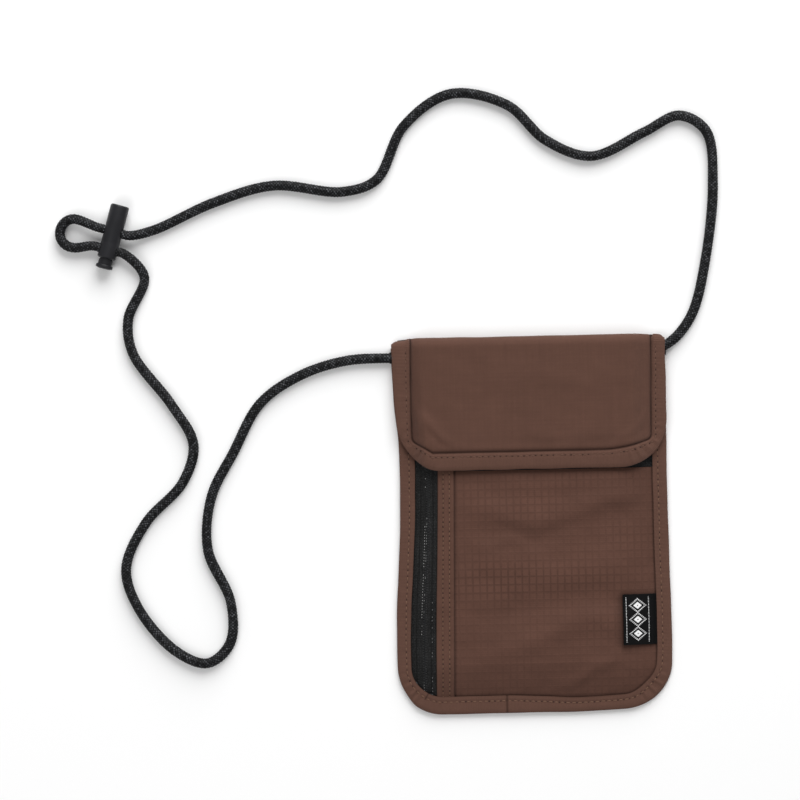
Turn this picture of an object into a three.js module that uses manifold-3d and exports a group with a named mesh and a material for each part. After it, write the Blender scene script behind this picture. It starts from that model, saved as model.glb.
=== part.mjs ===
// A flat neck pouch wallet, lying on its back: a bound pouch with a zip down its left side, a second zip
// under a hook-and-loop flap, a side label, and a round neck cord with a spring cord lock.
// Millimetres. The table is z = 0, +Z comes out of the pouch's front, and +Y points to the flap's fold.
import * as THREE from "three";
import { mergeVertices } from "three/addons/utils/BufferGeometryUtils.js";
import Module from "manifold-3d";

// Driving dimensions
const POUCH_WIDTH = 145;
const POUCH_HEIGHT = 200;
const CORNER_RADIUS = 25;
const CORNER_STEPS = 6;
const BINDING_WIDTH = 7.8;
const FLAP_BINDING_WIDTH = 8.6;
const TAPE = 0.5; // thickness of one binding tape
const AIR = 0.05; // between two layers that lie on each other
const SEAM = 0.3; // between two pieces side by side
const HALF = POUCH_WIDTH / 2;
const BOTTOM = -POUCH_HEIGHT / 2;

// Layers, each as its inset from the pouch's edge, its underside there, and its thickness
const EDGE = 0.8;
const BACK_INSETS = [EDGE, 8.3, 12];
const BACK_PANEL = { insets: BACK_INSETS, under: [0.55, 0.55, 0], thick: 0.5 };
const SHIELD = { insets: BACK_INSETS, under: [1.1, 1.1, 0.55], thick: 0.12 };
const BACK_LINING = { insets: BACK_INSETS, under: [1.25, 1.25, 0.7], thick: 0.25 };
const DIVIDER = { insets: [EDGE, 12, 28], under: [1.55, 1.55, 5.3], thick: 0.4 };
const SKIN = { insets: [EDGE, 8.3, 26], under: [2, 2, 6.4], thick: 0.5 };
const BODY_EDGE_THICK = 3.05;

// Where the front is divided, along X and Y
const MOUTH_Y = 84;
const FOLD_Y = 94.8;
const SIDE_ZIP_X = -57;
const SIDE_ZIP_END_Y = -74;
const FACING_LEFT_X = -51;
const FACING_RIGHT_X = -41;
const TOP_ZIP_Y = 36.5;
const TOP_ZIP_HALF = 7.2;
const TOP_ZIP_END_X = 46.5;
const TAPE_GAP = 2.2; // between the two tapes of a zip, filled by its coil

// Zip coils and sliders
const TOOTH_PITCH = 2.4;
const TOOTH_WIDTH = 0.9;
const COIL_HALF = 0.95;
const COIL_SPINE = 0.45;
const COIL_THICK = 0.6;
const SIDE_SLIDER_Y = 66;
const TOP_SLIDER_X = -30;
const SLIDER_WIDTH = 6.4;
const SLIDER_LENGTH = 9;
const PULL_LENGTH = 15;
const PULL_WIDTH = 4.2;

// Flap
const FLAP_BOTTOM = 29.2;
const FLAP_TOP = FOLD_Y - SEAM;
const FLAP_EDGE_Z = 4.1;
const FLAP_RISE = 5.1;
const FLAP_FLAT_INSET = 16;
const FLAP_THICK = 1.95;
const FLAP_LINING = [0.55, 0.85];
const FLAP_OUTER = [0.9, 1.4];

// Hook-and-loop patches
const PATCH_WIDTH = 60;
const PATCH_HEIGHT = 18;
const PATCH_Y = 56;
const LOOP_Z = [6.95, 8.3];
const HOOK_Z = [8.35, 9.7];

// Label on the right side seam
const LABEL_LEFT_X = 47;
const LABEL_RIGHT_X = 64.4;
const LABEL_LOW_Y = -64.8;
const LABEL_HIGH_Y = -38.2;

// Neck cord and cord lock
const CORD_RADIUS = 2.5;
const CORD_SIDES = 8;
const ANCHOR_LENGTH = 12;
const ANCHOR_WIDTH = 6;
const ANCHOR_Z = [1.6, 3.9];
const ANCHOR_Y = { left: 89.4, right: 91 };
const LOCK_CENTRE = new THREE.Vector3(-219, 154.6, 5);
const LOCK_TILT = THREE.MathUtils.degToRad(-16);
const LOCK_RADIUS = 4.8;
const LOCK_BOTTOM = -9.7;
const LOCK_TOP = 19.3;
const LOCK_BORE = 3.9;
const LOCK_BORE_TOP = 16.3;
const LOCK_HOLE = 2.85;
const HOLE_OFFSET = 5.05;
const LOCK_STRAIGHT = 8.6; // half the length of cord that runs straight through the lock
const PLUNGER_RADIUS = 3.7;
const PLUNGER_TOP = 8.6;
const PLUNGER_TRAVEL = 3;
const BUTTON_RADIUS = 4.5;
const BUTTON_FROM = -15.3;
const BUTTON_TO = -13.1;

// The cord's route from the left seam to the lock and back to the right seam, and the loop beyond the lock
const LEFT_RUN = [
  [-72.7, 89.4], [-96, 88.5], [-120, 81.5], [-142, 67], [-157, 41], [-169, 18], [-171.5, -10], [-160, -38],
  [-161, -60], [-173, -70], [-190, -63], [-209, -40], [-215, -19], [-204, 5], [-184, 26], [-178, 46],
  [-189, 67], [-209, 95], [-211, 113], [-202, 135],
];
const RIGHT_RUN = [
  [-196, 160], [-165, 173.5], [-133, 182], [-96, 178], [-78, 184], [-63, 212], [-38, 228.5], [-8, 222],
  [12, 203], [36, 194], [64, 206], [83, 214.5], [97, 206], [100, 178], [95, 137],
  [88, 110.5], [80, 98.6], [74.6, 94.2],
];
const FREE_LOOP = { x: -238.5, y: 159, radius: 7.6, points: 6 };

// Materials: the colour as it shows, the roughness, and the metalness
const BROWN_PLAIN = [0x5c4137, 0.9, 0];
const BROWN_RIPSTOP = [0x5a3f36, 0.88, 0];
const BROWN_BINDING = [0x60473c, 0.92, 0];
const BLACK_TAPE = [0x252525, 0.9, 0];
const BLACK_COIL = [0x2c2c2d, 0.6, 0];
const BLACK_CORD = [0x222223, 0.85, 0];
const BLACK_PLASTIC = [0x363638, 0.42, 0];
const BLACK_LABEL = [0x1e1e1f, 0.85, 0];
const BLACK_METAL = [0x2a2a2b, 0.45, 0.6];
const STEEL = [0xa8a8a6, 0.3, 1];
const GREY_LINING = [0x55565a, 0.9, 0];
const SILVER_SHIELD = [0x9a9c9e, 0.5, 0.4];

const wasm = await Module();
wasm.setup();
const { Manifold } = wasm;
const neckPouch = new THREE.Group();

function addMesh(name, geometry, [color, roughness, metalness], parent = neckPouch) {
  const material = new THREE.MeshStandardMaterial({ color, roughness, metalness });
  const mesh = new THREE.Mesh(geometry, material);
  mesh.name = name;
  parent.add(mesh);
  return mesh;
}

// Solids and geometries

function toSolid(geometry) {
  const plain = geometry.clone();
  plain.deleteAttribute("normal");
  plain.deleteAttribute("uv");
  const merged = mergeVertices(plain, 1e-4);
  const mesh = new wasm.Mesh({
    numProp: 3,
    vertProperties: merged.attributes.position.array,
    triVerts: new Uint32Array(merged.index.array),
  });
  return new Manifold(mesh);
}

function toGeometry(solid) {
  const mesh = solid.getMesh();
  const geometry = new THREE.BufferGeometry();
  geometry.setAttribute("position", new THREE.BufferAttribute(mesh.vertProperties, 3));
  geometry.setIndex(new THREE.BufferAttribute(mesh.triVerts, 1));
  const flat = geometry.toNonIndexed();
  flat.computeVertexNormals();
  return flat;
}

function block(x, y, z) {
  const size = [x[1] - x[0], y[1] - y[0], z[1] - z[0]];
  return Manifold.cube(size).translate([x[0], y[0], z[0]]);
}

function prism(shape, low, high) {
  const geometry = new THREE.ExtrudeGeometry(shape, { depth: high - low, bevelEnabled: false });
  return toSolid(geometry.translate(0, 0, low));
}

// Stations down the left side, round both lower corners and up the right side, at an inset from the edge
function edgeStations(inset, top, bottom) {
  const radius = CORNER_RADIUS - Math.min(inset, CORNER_RADIUS - 1);
  const side = HALF - inset;
  const stations = [[-side, top]];
  for (const corner of [-1, 1]) {
    for (let i = 0; i <= CORNER_STEPS; i++) {
      const turn = (Math.PI / 2) * (i / CORNER_STEPS);
      const along = corner < 0 ? Math.cos(turn) : Math.sin(turn);
      const down = corner < 0 ? Math.sin(turn) : Math.cos(turn);
      const x = corner * (side - radius + radius * along);
      const y = bottom + inset + radius - radius * down;
      stations.push([x, y]);
    }
  }
  stations.push([side, top]);
  return stations;
}

function edgeShape(inset, top, bottom) {
  return new THREE.Shape(edgeStations(inset, top, bottom).map(([x, y]) => new THREE.Vector2(x, y)));
}

// A layer of the pouch: it is pinched at the sides and the bottom, flat in the middle and open at its top
function pinchedLayer({ insets, under, thick }, top) {
  const rings = insets.map((inset) => edgeStations(inset, top, BOTTOM));
  const size = rings[0].length;
  const positions = [];
  for (const lift of [0, thick]) {
    rings.forEach((ring, k) => ring.forEach(([x, y]) => positions.push(x, y, under[k] + lift)));
  }
  const upper = rings.length * size;
  const index = [];
  const face = (a, b, c) => index.push(a, c, b, a + upper, b + upper, c + upper);
  for (let k = 0; k < rings.length - 1; k++) {
    for (let i = 0; i < size - 1; i++) {
      const outer = k * size + i;
      const inner = outer + size;
      face(outer, outer + 1, inner + 1);
      face(outer, inner + 1, inner);
    }
  }
  const middle = (rings.length - 1) * size;
  for (let i = 1; i < size - 1; i++) {
    face(middle, middle + i, middle + i + 1);
  }
  const rim = rings[0].map((_, i) => i);
  for (let k = 1; k < rings.length; k++) {
    rim.push(k * size + size - 1);
  }
  for (let k = rings.length - 1; k > 0; k--) {
    rim.push(k * size);
  }
  rim.forEach((a, i) => {
    const b = rim[(i + 1) % rim.length];
    index.push(a, b, b + upper, a, b + upper, a + upper);
  });
  const geometry = new THREE.BufferGeometry();
  geometry.setAttribute("position", new THREE.Float32BufferAttribute(positions, 3));
  geometry.setIndex(index);
  return toSolid(geometry);
}

// Height of a layer's underside at an inset from the side
function layerHeight({ insets, under }, inset) {
  const k = insets.findIndex((limit) => inset < limit);
  if (k < 1) return under[k < 0 ? under.length - 1 : 0];
  const share = (inset - insets[k - 1]) / (insets[k] - insets[k - 1]);
  return THREE.MathUtils.lerp(under[k - 1], under[k], share);
}

const skinSolid = pinchedLayer(SKIN, MOUTH_Y);

function skinPiece(...blocks) {
  return toGeometry(skinSolid.intersect(Manifold.union(blocks)));
}

function skinBlock(x, y) {
  return block(x, y, [0, 2 * SKIN.under[2]]);
}

const FAR = POUCH_HEIGHT;

// The pouch's walls

function addWalls() {
  addMesh("back_panel", toGeometry(pinchedLayer(BACK_PANEL, FLAP_TOP)), BROWN_PLAIN);
  addMesh("shielding_liner", toGeometry(pinchedLayer(SHIELD, FLAP_TOP)), SILVER_SHIELD);
  addMesh("back_lining", toGeometry(pinchedLayer(BACK_LINING, FLAP_TOP)), GREY_LINING);
  addMesh("divider_panel", toGeometry(pinchedLayer(DIVIDER, MOUTH_Y)), GREY_LINING);
}

function addFront() {
  const panelX = [FACING_RIGHT_X + SEAM / 2, FAR];
  const pocketTop = TOP_ZIP_Y - TOP_ZIP_HALF - SEAM;
  const upperFrom = TOP_ZIP_Y + TOP_ZIP_HALF + SEAM;
  const facingX = [FACING_LEFT_X + SEAM / 2, FACING_RIGHT_X - SEAM / 2];
  addMesh("front_pocket_panel", skinPiece(skinBlock(panelX, [-FAR, pocketTop])), BROWN_RIPSTOP);
  addMesh("upper_front_panel", skinPiece(skinBlock(panelX, [upperFrom, FAR])), BROWN_PLAIN);
  addMesh("zip_facing", skinPiece(skinBlock(facingX, [-FAR, FAR])), BROWN_PLAIN);
}

// The side zip's tapes meet below its bottom stop, and the top zip's tapes beyond its right stop
function addZipTapes() {
  const left = SIDE_ZIP_X - TAPE_GAP / 2;
  const right = SIDE_ZIP_X + TAPE_GAP / 2;
  const rightEdge = FACING_LEFT_X - SEAM / 2;
  const meet = SIDE_ZIP_END_Y - 2;
  const rightHalf = skinBlock([right, rightEdge], [-FAR, FAR]);
  const joint = skinBlock([left + SEAM, rightEdge], [-FAR, meet]);
  addMesh("side_zip_tape_left", skinPiece(skinBlock([-FAR, left], [-FAR, FAR])), BLACK_TAPE);
  addMesh("side_zip_tape_right", skinPiece(rightHalf, joint), BLACK_TAPE);

  const low = TOP_ZIP_Y - TAPE_GAP / 2;
  const high = TOP_ZIP_Y + TAPE_GAP / 2;
  const startX = FACING_RIGHT_X + SEAM / 2;
  const lowerHalf = skinBlock([startX, FAR], [TOP_ZIP_Y - TOP_ZIP_HALF, low]);
  const turnUp = skinBlock([TOP_ZIP_END_X + SEAM, FAR], [low, TOP_ZIP_Y + TOP_ZIP_HALF]);
  const upperHalf = skinBlock([startX, TOP_ZIP_END_X], [high, TOP_ZIP_Y + TOP_ZIP_HALF]);
  addMesh("top_zip_tape_lower", skinPiece(lowerHalf, turnUp), BLACK_TAPE);
  addMesh("top_zip_tape_upper", skinPiece(upperHalf), BLACK_TAPE);
}

// Zips: each is built along +Y round the origin, in the plane of its tapes

function coilHalf(length, side) {
  const shape = new THREE.Shape();
  shape.moveTo(side * COIL_HALF, 0);
  shape.lineTo(side * (COIL_HALF - COIL_SPINE), 0);
  const reach = COIL_HALF - COIL_SPINE - 0.2;
  const first = side < 0 ? 0.3 : 0.3 + TOOTH_PITCH / 2;
  for (let y = first; y + TOOTH_WIDTH < length; y += TOOTH_PITCH) {
    shape.lineTo(side * (COIL_HALF - COIL_SPINE), y);
    shape.lineTo(-side * reach, y);
    shape.lineTo(-side * reach, y + TOOTH_WIDTH);
    shape.lineTo(side * (COIL_HALF - COIL_SPINE), y + TOOTH_WIDTH);
  }
  shape.lineTo(side * (COIL_HALF - COIL_SPINE), length);
  shape.lineTo(side * COIL_HALF, length);
  const geometry = new THREE.ExtrudeGeometry(shape, { depth: COIL_THICK, bevelEnabled: false });
  return geometry.translate(0, 0, -COIL_THICK / 2);
}

function roundedPlate(width, length, radius) {
  const x = width / 2;
  const y = length / 2;
  const shape = new THREE.Shape();
  shape.moveTo(-x + radius, -y);
  shape.lineTo(x - radius, -y);
  shape.absarc(x - radius, -y + radius, radius, -Math.PI / 2, 0);
  shape.lineTo(x, y - radius);
  shape.absarc(x - radius, y - radius, radius, 0, Math.PI / 2);
  shape.lineTo(-x + radius, y);
  shape.absarc(-x + radius, y - radius, radius, Math.PI / 2, Math.PI);
  shape.lineTo(-x, -y + radius);
  shape.absarc(-x + radius, -y + radius, radius, Math.PI, 1.5 * Math.PI);
  return shape;
}

function plate(width, length, radius, low, high) {
  const geometry = new THREE.ExtrudeGeometry(roundedPlate(width, length, radius), {
    depth: high - low,
    bevelEnabled: false,
    curveSegments: 3,
  });
  return toSolid(geometry.translate(0, 0, low));
}

const WING_Z = [0.45, 1.15];
const LOWER_WING_Z = [-0.8, -0.45];
const ARCH_Z = 1.85;
const ARCH_TOP = 2.3;
const ARCH_HALF = 2.6;
const ARCH_POST = 0.8;
const POST_Y = 2.5;
const PULL_Z = [1.25, 1.75];

function sliderBody() {
  const top = plate(SLIDER_WIDTH, SLIDER_LENGTH, 1.8, ...WING_Z);
  const bottom = plate(5.4, 7, 1.6, ...LOWER_WING_Z);
  const wedge = block([-0.75, 0.75], [POST_Y - 1.1, POST_Y + 1.1], [LOWER_WING_Z[0], WING_Z[1]]);
  const arch = block([-0.8, 0.8], [-ARCH_HALF, ARCH_HALF], [WING_Z[0], ARCH_TOP]);
  const reach = ARCH_HALF - ARCH_POST;
  const opening = block([-1, 1], [-reach, reach], [WING_Z[1], ARCH_Z]);
  return toGeometry(top.add(bottom).add(wedge).add(arch.subtract(opening)));
}

function sliderPull() {
  const crossbar = 0.45;
  const body = plate(PULL_WIDTH, PULL_LENGTH, 1.4, ...PULL_Z).translate([0, crossbar - PULL_LENGTH / 2, 0]);
  const window = block([-1.15, 1.15], [-3.8, -crossbar], [0, ARCH_TOP]);
  const grip = plate(2.2, 4.5, 0.8, 0, ARCH_TOP).translate([0, -10.5, 0]);
  return toGeometry(body.subtract(window).subtract(grip));
}

function zipStop() {
  return toGeometry(block([-0.9, 0.9], [-0.7, 0.7], [-0.5, 0.6]));
}

const slope = Math.atan2(SKIN.under[2] - SKIN.under[1], SKIN.insets[2] - SKIN.insets[1]);

function addSideZip() {
  const zip = new THREE.Group();
  const height = layerHeight(SKIN, HALF + SIDE_ZIP_X) + SKIN.thick / 2;
  zip.position.set(SIDE_ZIP_X, 0, height);
  zip.rotation.y = -slope;
  neckPouch.add(zip);
  const coilTop = SIDE_SLIDER_Y + 1;
  const coilLength = coilTop - SIDE_ZIP_END_Y;
  const leftCoil = addMesh("side_zip_coil_left", coilHalf(coilLength, -1), BLACK_COIL, zip);
  const rightCoil = addMesh("side_zip_coil_right", coilHalf(coilLength, 1), BLACK_COIL, zip);
  leftCoil.position.y = SIDE_ZIP_END_Y;
  rightCoil.position.y = SIDE_ZIP_END_Y;
  addMesh("side_zip_bottom_stop", zipStop(), BLACK_METAL, zip).position.y = SIDE_ZIP_END_Y - 1;
  addMesh("side_zip_top_stop", zipStop(), BLACK_METAL, zip).position.y = SIDE_SLIDER_Y + 7;
  addMesh("side_slider", sliderBody(), BLACK_METAL, zip).position.y = SIDE_SLIDER_Y;
  addMesh("side_pull", sliderPull(), BLACK_METAL, zip).position.y = SIDE_SLIDER_Y;
}

// The top zip closes towards the left, so it is the side zip's shape turned to run along X
function addTopZip() {
  const zip = new THREE.Group();
  zip.position.set(0, TOP_ZIP_Y, SKIN.under[2] + SKIN.thick / 2);
  zip.rotation.z = Math.PI / 2;
  neckPouch.add(zip);
  const coilEnd = -TOP_ZIP_END_X + 2.6;
  const coilTop = -TOP_SLIDER_X + 1;
  const coilLength = coilTop - coilEnd;
  const lower = addMesh("top_zip_coil_lower", coilHalf(coilLength, -1), BLACK_COIL, zip);
  const upper = addMesh("top_zip_coil_upper", coilHalf(coilLength, 1), BLACK_COIL, zip);
  lower.position.y = coilEnd;
  upper.position.y = coilEnd;
  addMesh("top_zip_stop_right", zipStop(), BLACK_METAL, zip).position.y = coilEnd - 1;
  addMesh("top_zip_stop_left", zipStop(), BLACK_METAL, zip).position.y = -TOP_SLIDER_X + 7;
  addMesh("top_slider", sliderBody(), BLACK_METAL, zip).position.y = -TOP_SLIDER_X;
  addMesh("top_pull", sliderPull(), BLACK_METAL, zip).position.y = -TOP_SLIDER_X;
}

// A folded tape round the sides and the bottom of the pouch, notched where the cord's ends go in
function addBodyBinding() {
  const outer = prism(edgeShape(0, FLAP_TOP, BOTTOM), 0, BODY_EDGE_THICK);
  const layers = prism(edgeShape(TAPE, FAR, BOTTOM), TAPE, BODY_EDGE_THICK - TAPE);
  const middle = prism(edgeShape(BINDING_WIDTH, FAR, BOTTOM), -1, BODY_EDGE_THICK + 1);
  const notches = [-1, 1].map((side) => {
    const y = side < 0 ? ANCHOR_Y.left : ANCHOR_Y.right;
    const half = ANCHOR_WIDTH / 2 + SEAM;
    const x = side < 0 ? [-FAR, 0] : [0, FAR];
    return block(x, [y - half, y + half], [ANCHOR_Z[0] - AIR, FAR]);
  });
  const binding = outer.subtract(layers).subtract(middle).subtract(Manifold.union(notches));
  addMesh("body_binding", toGeometry(binding), BROWN_BINDING);
}

// Flap: every layer follows one profile across the pouch, low at the sides and flat in the middle

function flapBase(inset) {
  const share = (inset - BINDING_WIDTH) / (FLAP_FLAT_INSET - BINDING_WIDTH);
  return FLAP_EDGE_Z + FLAP_RISE * THREE.MathUtils.clamp(share, 0, 1);
}

function flapSlab(low, high) {
  const insets = [-1, BINDING_WIDTH, FLAP_FLAT_INSET];
  const across = [...insets.map((inset) => inset - HALF), ...insets.reverse().map((inset) => HALF - inset)];
  const upper = across.map((x) => new THREE.Vector2(x, flapBase(HALF - Math.abs(x)) + high));
  const lower = across.map((x) => new THREE.Vector2(x, flapBase(HALF - Math.abs(x)) + low)).reverse();
  const shape = new THREE.Shape([...lower, ...upper]);
  const length = FLAP_TOP - FLAP_BOTTOM;
  const geometry = new THREE.ExtrudeGeometry(shape, { depth: length, bevelEnabled: false });
  return toSolid(geometry.rotateX(Math.PI / 2).translate(0, FLAP_TOP, 0));
}

function flapOutline(inset, low, high) {
  return prism(edgeShape(inset, FLAP_TOP + SEAM * (inset > TAPE ? 1 : 0), FLAP_BOTTOM), low, high);
}

function addFlap() {
  const high = FLAP_EDGE_Z + FLAP_RISE + FLAP_THICK + 1;
  const inside = flapOutline(EDGE, 0, high);
  addMesh("flap_outer_panel", toGeometry(flapSlab(...FLAP_OUTER).intersect(inside)), BROWN_PLAIN);
  addMesh("flap_lining", toGeometry(flapSlab(...FLAP_LINING).intersect(inside)), BROWN_PLAIN);
  const whole = flapSlab(0, FLAP_THICK).intersect(flapOutline(0, 0, high));
  const pocket = flapSlab(TAPE, FLAP_THICK - TAPE).intersect(flapOutline(TAPE, 0, high));
  const middle = flapOutline(FLAP_BINDING_WIDTH, 0, high);
  addMesh("flap_binding", toGeometry(whole.subtract(pocket).subtract(middle)), BROWN_BINDING);
}

// The fabric that turns from the back over the top edge into the flap, as a band bent round in the YZ plane
function bentBand(stations) {
  const steps = 9;
  const ring = 2 * (steps + 1);
  const positions = [];
  for (const { x, low, high, thick } of stations) {
    const centre = (low + high) / 2;
    const radius = (high - low) / 2;
    for (const [from, to, size] of [[-1, 1, radius], [1, -1, radius - thick]]) {
      for (let i = 0; i <= steps; i++) {
        const angle = (Math.PI / 2) * THREE.MathUtils.lerp(from, to, i / steps);
        positions.push(x, FOLD_Y + size * Math.cos(angle), centre + size * Math.sin(angle));
      }
    }
  }
  const index = [];
  for (let k = 0; k < stations.length - 1; k++) {
    for (let i = 0; i < ring; i++) {
      const a = k * ring + i;
      const b = k * ring + ((i + 1) % ring);
      index.push(a, b, b + ring, a, b + ring, a + ring);
    }
  }
  const last = (stations.length - 1) * ring;
  for (let i = 0; i < steps; i++) {
    const a = i;
    const b = i + 1;
    const c = ring - 1 - b;
    const d = ring - 1 - a;
    index.push(a, c, b, a, d, c);
    index.push(last + a, last + b, last + c, last + a, last + c, last + d);
  }
  const geometry = new THREE.BufferGeometry();
  geometry.setAttribute("position", new THREE.Float32BufferAttribute(positions, 3));
  geometry.setIndex(index);
  return toGeometry(toSolid(geometry));
}

function addFold() {
  const panelEdge = BINDING_WIDTH + 0.6;
  const insets = [panelEdge, BACK_INSETS[2], FLAP_FLAT_INSET];
  const left = insets.map((inset) => ({
    x: inset - HALF,
    low: layerHeight(BACK_PANEL, inset),
    high: flapBase(inset) + FLAP_OUTER[1],
    thick: BACK_PANEL.thick,
  }));
  const right = left.map((station) => ({ ...station, x: -station.x })).reverse();
  addMesh("flap_fold", bentBand([...left, ...right]), BROWN_PLAIN);
  for (const [name, side] of [["fold_binding_left", -1], ["fold_binding_right", 1]]) {
    const ends = [-HALF, -HALF + BINDING_WIDTH].map((x) => side * -x);
    const stations = ends.sort((a, b) => a - b).map((x) => ({
      x,
      low: 0,
      high: FLAP_EDGE_Z + FLAP_THICK,
      thick: 3 * TAPE,
    }));
    addMesh(name, bentBand(stations), BROWN_BINDING);
  }
}

function addPatches() {
  const x = [-PATCH_WIDTH / 2, PATCH_WIDTH / 2];
  const y = [PATCH_Y - PATCH_HEIGHT / 2, PATCH_Y + PATCH_HEIGHT / 2];
  addMesh("loop_patch", toGeometry(block(x, y, LOOP_Z)), BLACK_TAPE);
  addMesh("hook_patch", toGeometry(block(x, y, HOOK_Z)), BLACK_TAPE);
}

// A tape folded double, its fold to the left and its ends in the right side seam
function addLabel() {
  const layer = 0.33;
  const gap = 0.14;
  const rise = (LABEL_RIGHT_X - LABEL_LEFT_X) * Math.tan(slope);
  const start = layerHeight(SKIN, HALF - LABEL_LEFT_X) + SKIN.thick + AIR;
  const line = (z) => [
    new THREE.Vector2(LABEL_LEFT_X, start + z),
    new THREE.Vector2(LABEL_RIGHT_X, start - rise + z),
  ];
  const [a, b] = line(0);
  const [c, d] = line(layer);
  const [e, f] = line(layer + gap);
  const [g, h] = line(2 * layer + gap);
  c.x += layer;
  e.x += layer;
  const shape = new THREE.Shape([a, b, d, c, e, f, h, g]);
  const length = LABEL_HIGH_Y - LABEL_LOW_Y;
  const geometry = new THREE.ExtrudeGeometry(shape, { depth: length, bevelEnabled: false });
  addMesh("label", geometry.rotateX(Math.PI / 2).translate(0, LABEL_HIGH_Y, 0), BLACK_LABEL);
}

// Cord

// Steps follow the control points, so that tight bends get as many as long straights
class CordRoute extends THREE.CatmullRomCurve3 {
  getPointAt(u, target) {
    return this.getPoint(u, target);
  }

  getTangentAt(u, target) {
    return this.getTangent(u, target);
  }
}

function lockPoint(along, across) {
  const offset = new THREE.Vector3(across, along, 0).applyAxisAngle(new THREE.Vector3(0, 0, 1), LOCK_TILT);
  return offset.add(LOCK_CENTRE);
}

function cordRoute() {
  const onTable = ([x, y]) => new THREE.Vector3(x, y, CORD_RADIUS);
  const leftRun = LEFT_RUN.map(onTable);
  const rightRun = RIGHT_RUN.map(onTable);
  const loopHeight = (CORD_RADIUS + LOCK_CENTRE.z) / 2;
  const loop = Array.from({ length: FREE_LOOP.points }, (_, i) => {
    const turn = -Math.PI / 2 - (Math.PI * i) / (FREE_LOOP.points - 1);
    const x = FREE_LOOP.x + FREE_LOOP.radius * Math.cos(turn);
    const y = FREE_LOOP.y + FREE_LOOP.radius * Math.sin(turn);
    return new THREE.Vector3(x, y, loopHeight);
  });
  const through = (along, side) =>
    [1, 0.33, -0.33, -1].map((share) => lockPoint(along, side * share * LOCK_STRAIGHT));
  return [...leftRun, ...through(-HOLE_OFFSET, 1), ...loop, ...through(HOLE_OFFSET, -1), ...rightRun];
}

function addCord() {
  const points = cordRoute();
  const route = new CordRoute(points, false, "centripetal");
  const section = new THREE.Shape();
  for (let i = 0; i < CORD_SIDES; i++) {
    const turn = (2 * Math.PI * (i + 0.5)) / CORD_SIDES;
    const x = CORD_RADIUS * Math.cos(turn);
    const y = CORD_RADIUS * Math.sin(turn);
    if (i) section.lineTo(x, y);
    else section.moveTo(x, y);
  }
  const steps = 3 * (points.length - 1);
  addMesh("neck_cord", new THREE.ExtrudeGeometry(section, { steps, extrudePath: route }), BLACK_CORD);
  for (const [side, y] of [["left", ANCHOR_Y.left], ["right", ANCHOR_Y.right]]) {
    const anchor = plate(ANCHOR_LENGTH, ANCHOR_WIDTH, 1.5, ...ANCHOR_Z);
    const x = (HALF - ANCHOR_LENGTH / 2) * (side === "left" ? -1 : 1);
    addMesh(`cord_anchor_${side}`, toGeometry(anchor.translate([x, y, 0])), BLACK_CORD);
  }
}

// Cord lock, built along +Y round the middle of its two holes

function rod(radius, from, to) {
  const geometry = new THREE.CylinderGeometry(radius, radius, to - from, 24);
  return toSolid(geometry.translate(0, (from + to) / 2, 0));
}

function crossHole(from, to) {
  const ends = [from, to].map((y) => {
    const hole = new THREE.CylinderGeometry(LOCK_HOLE, LOCK_HOLE, 4 * LOCK_RADIUS, 20);
    return toSolid(hole.rotateZ(Math.PI / 2).translate(0, y, 0));
  });
  return from === to ? ends[0] : Manifold.hull(ends);
}

function addLock() {
  const lock = new THREE.Group();
  lock.position.copy(LOCK_CENTRE);
  lock.rotation.z = LOCK_TILT;
  neckPouch.add(lock);
  const bore = rod(LOCK_BORE, LOCK_BOTTOM - 1, LOCK_BORE_TOP);
  const holes = [HOLE_OFFSET, -HOLE_OFFSET].map((y) => crossHole(y, y));
  const barrel = rod(LOCK_RADIUS, LOCK_BOTTOM, LOCK_TOP).subtract(Manifold.union([bore, ...holes]));
  addMesh("lock_barrel", toGeometry(barrel), BLACK_PLASTIC, lock);

  const stem = rod(PLUNGER_RADIUS, BUTTON_FROM, PLUNGER_TOP).add(rod(BUTTON_RADIUS, BUTTON_FROM, BUTTON_TO));
  const slots = [HOLE_OFFSET, -HOLE_OFFSET].map((y) => crossHole(y - PLUNGER_TRAVEL, y));
  addMesh("lock_plunger", toGeometry(stem.subtract(Manifold.union(slots))), BLACK_PLASTIC, lock);

  const turns = 4;
  const wire = 0.4;
  const low = PLUNGER_TOP + wire + 0.1;
  const high = LOCK_BORE_TOP - wire - 0.1;
  const coil = [];
  const perTurn = 8;
  for (let i = 0; i <= turns * perTurn; i++) {
    const turn = (2 * Math.PI * i) / perTurn;
    const radius = LOCK_BORE - 3 * wire;
    const y = THREE.MathUtils.lerp(low, high, i / (turns * perTurn));
    coil.push(new THREE.Vector3(radius * Math.cos(turn), y, radius * Math.sin(turn)));
  }
  const wireSection = new THREE.Shape();
  wireSection.absarc(0, 0, wire, 0, 2 * Math.PI);
  const spring = new THREE.ExtrudeGeometry(wireSection, {
    steps: turns * perTurn,
    curveSegments: 3,
    extrudePath: new THREE.CatmullRomCurve3(coil),
  });
  addMesh("lock_spring", spring, STEEL, lock);
}

addWalls();
addFront();
addZipTapes();
addSideZip();
addTopZip();
addBodyBinding();
addFlap();
addFold();
addPatches();
addLabel();
addCord();
addLock();

export default neckPouch;
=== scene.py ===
"""Looks for a flat neck pouch wallet lying on its back, with its neck cord and cord lock.

Lengths are in millimetres until an object is made, and metres in the scene.
"""

import math

import bmesh
import bpy
import numpy as np
from mathutils import Matrix, Vector


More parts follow.
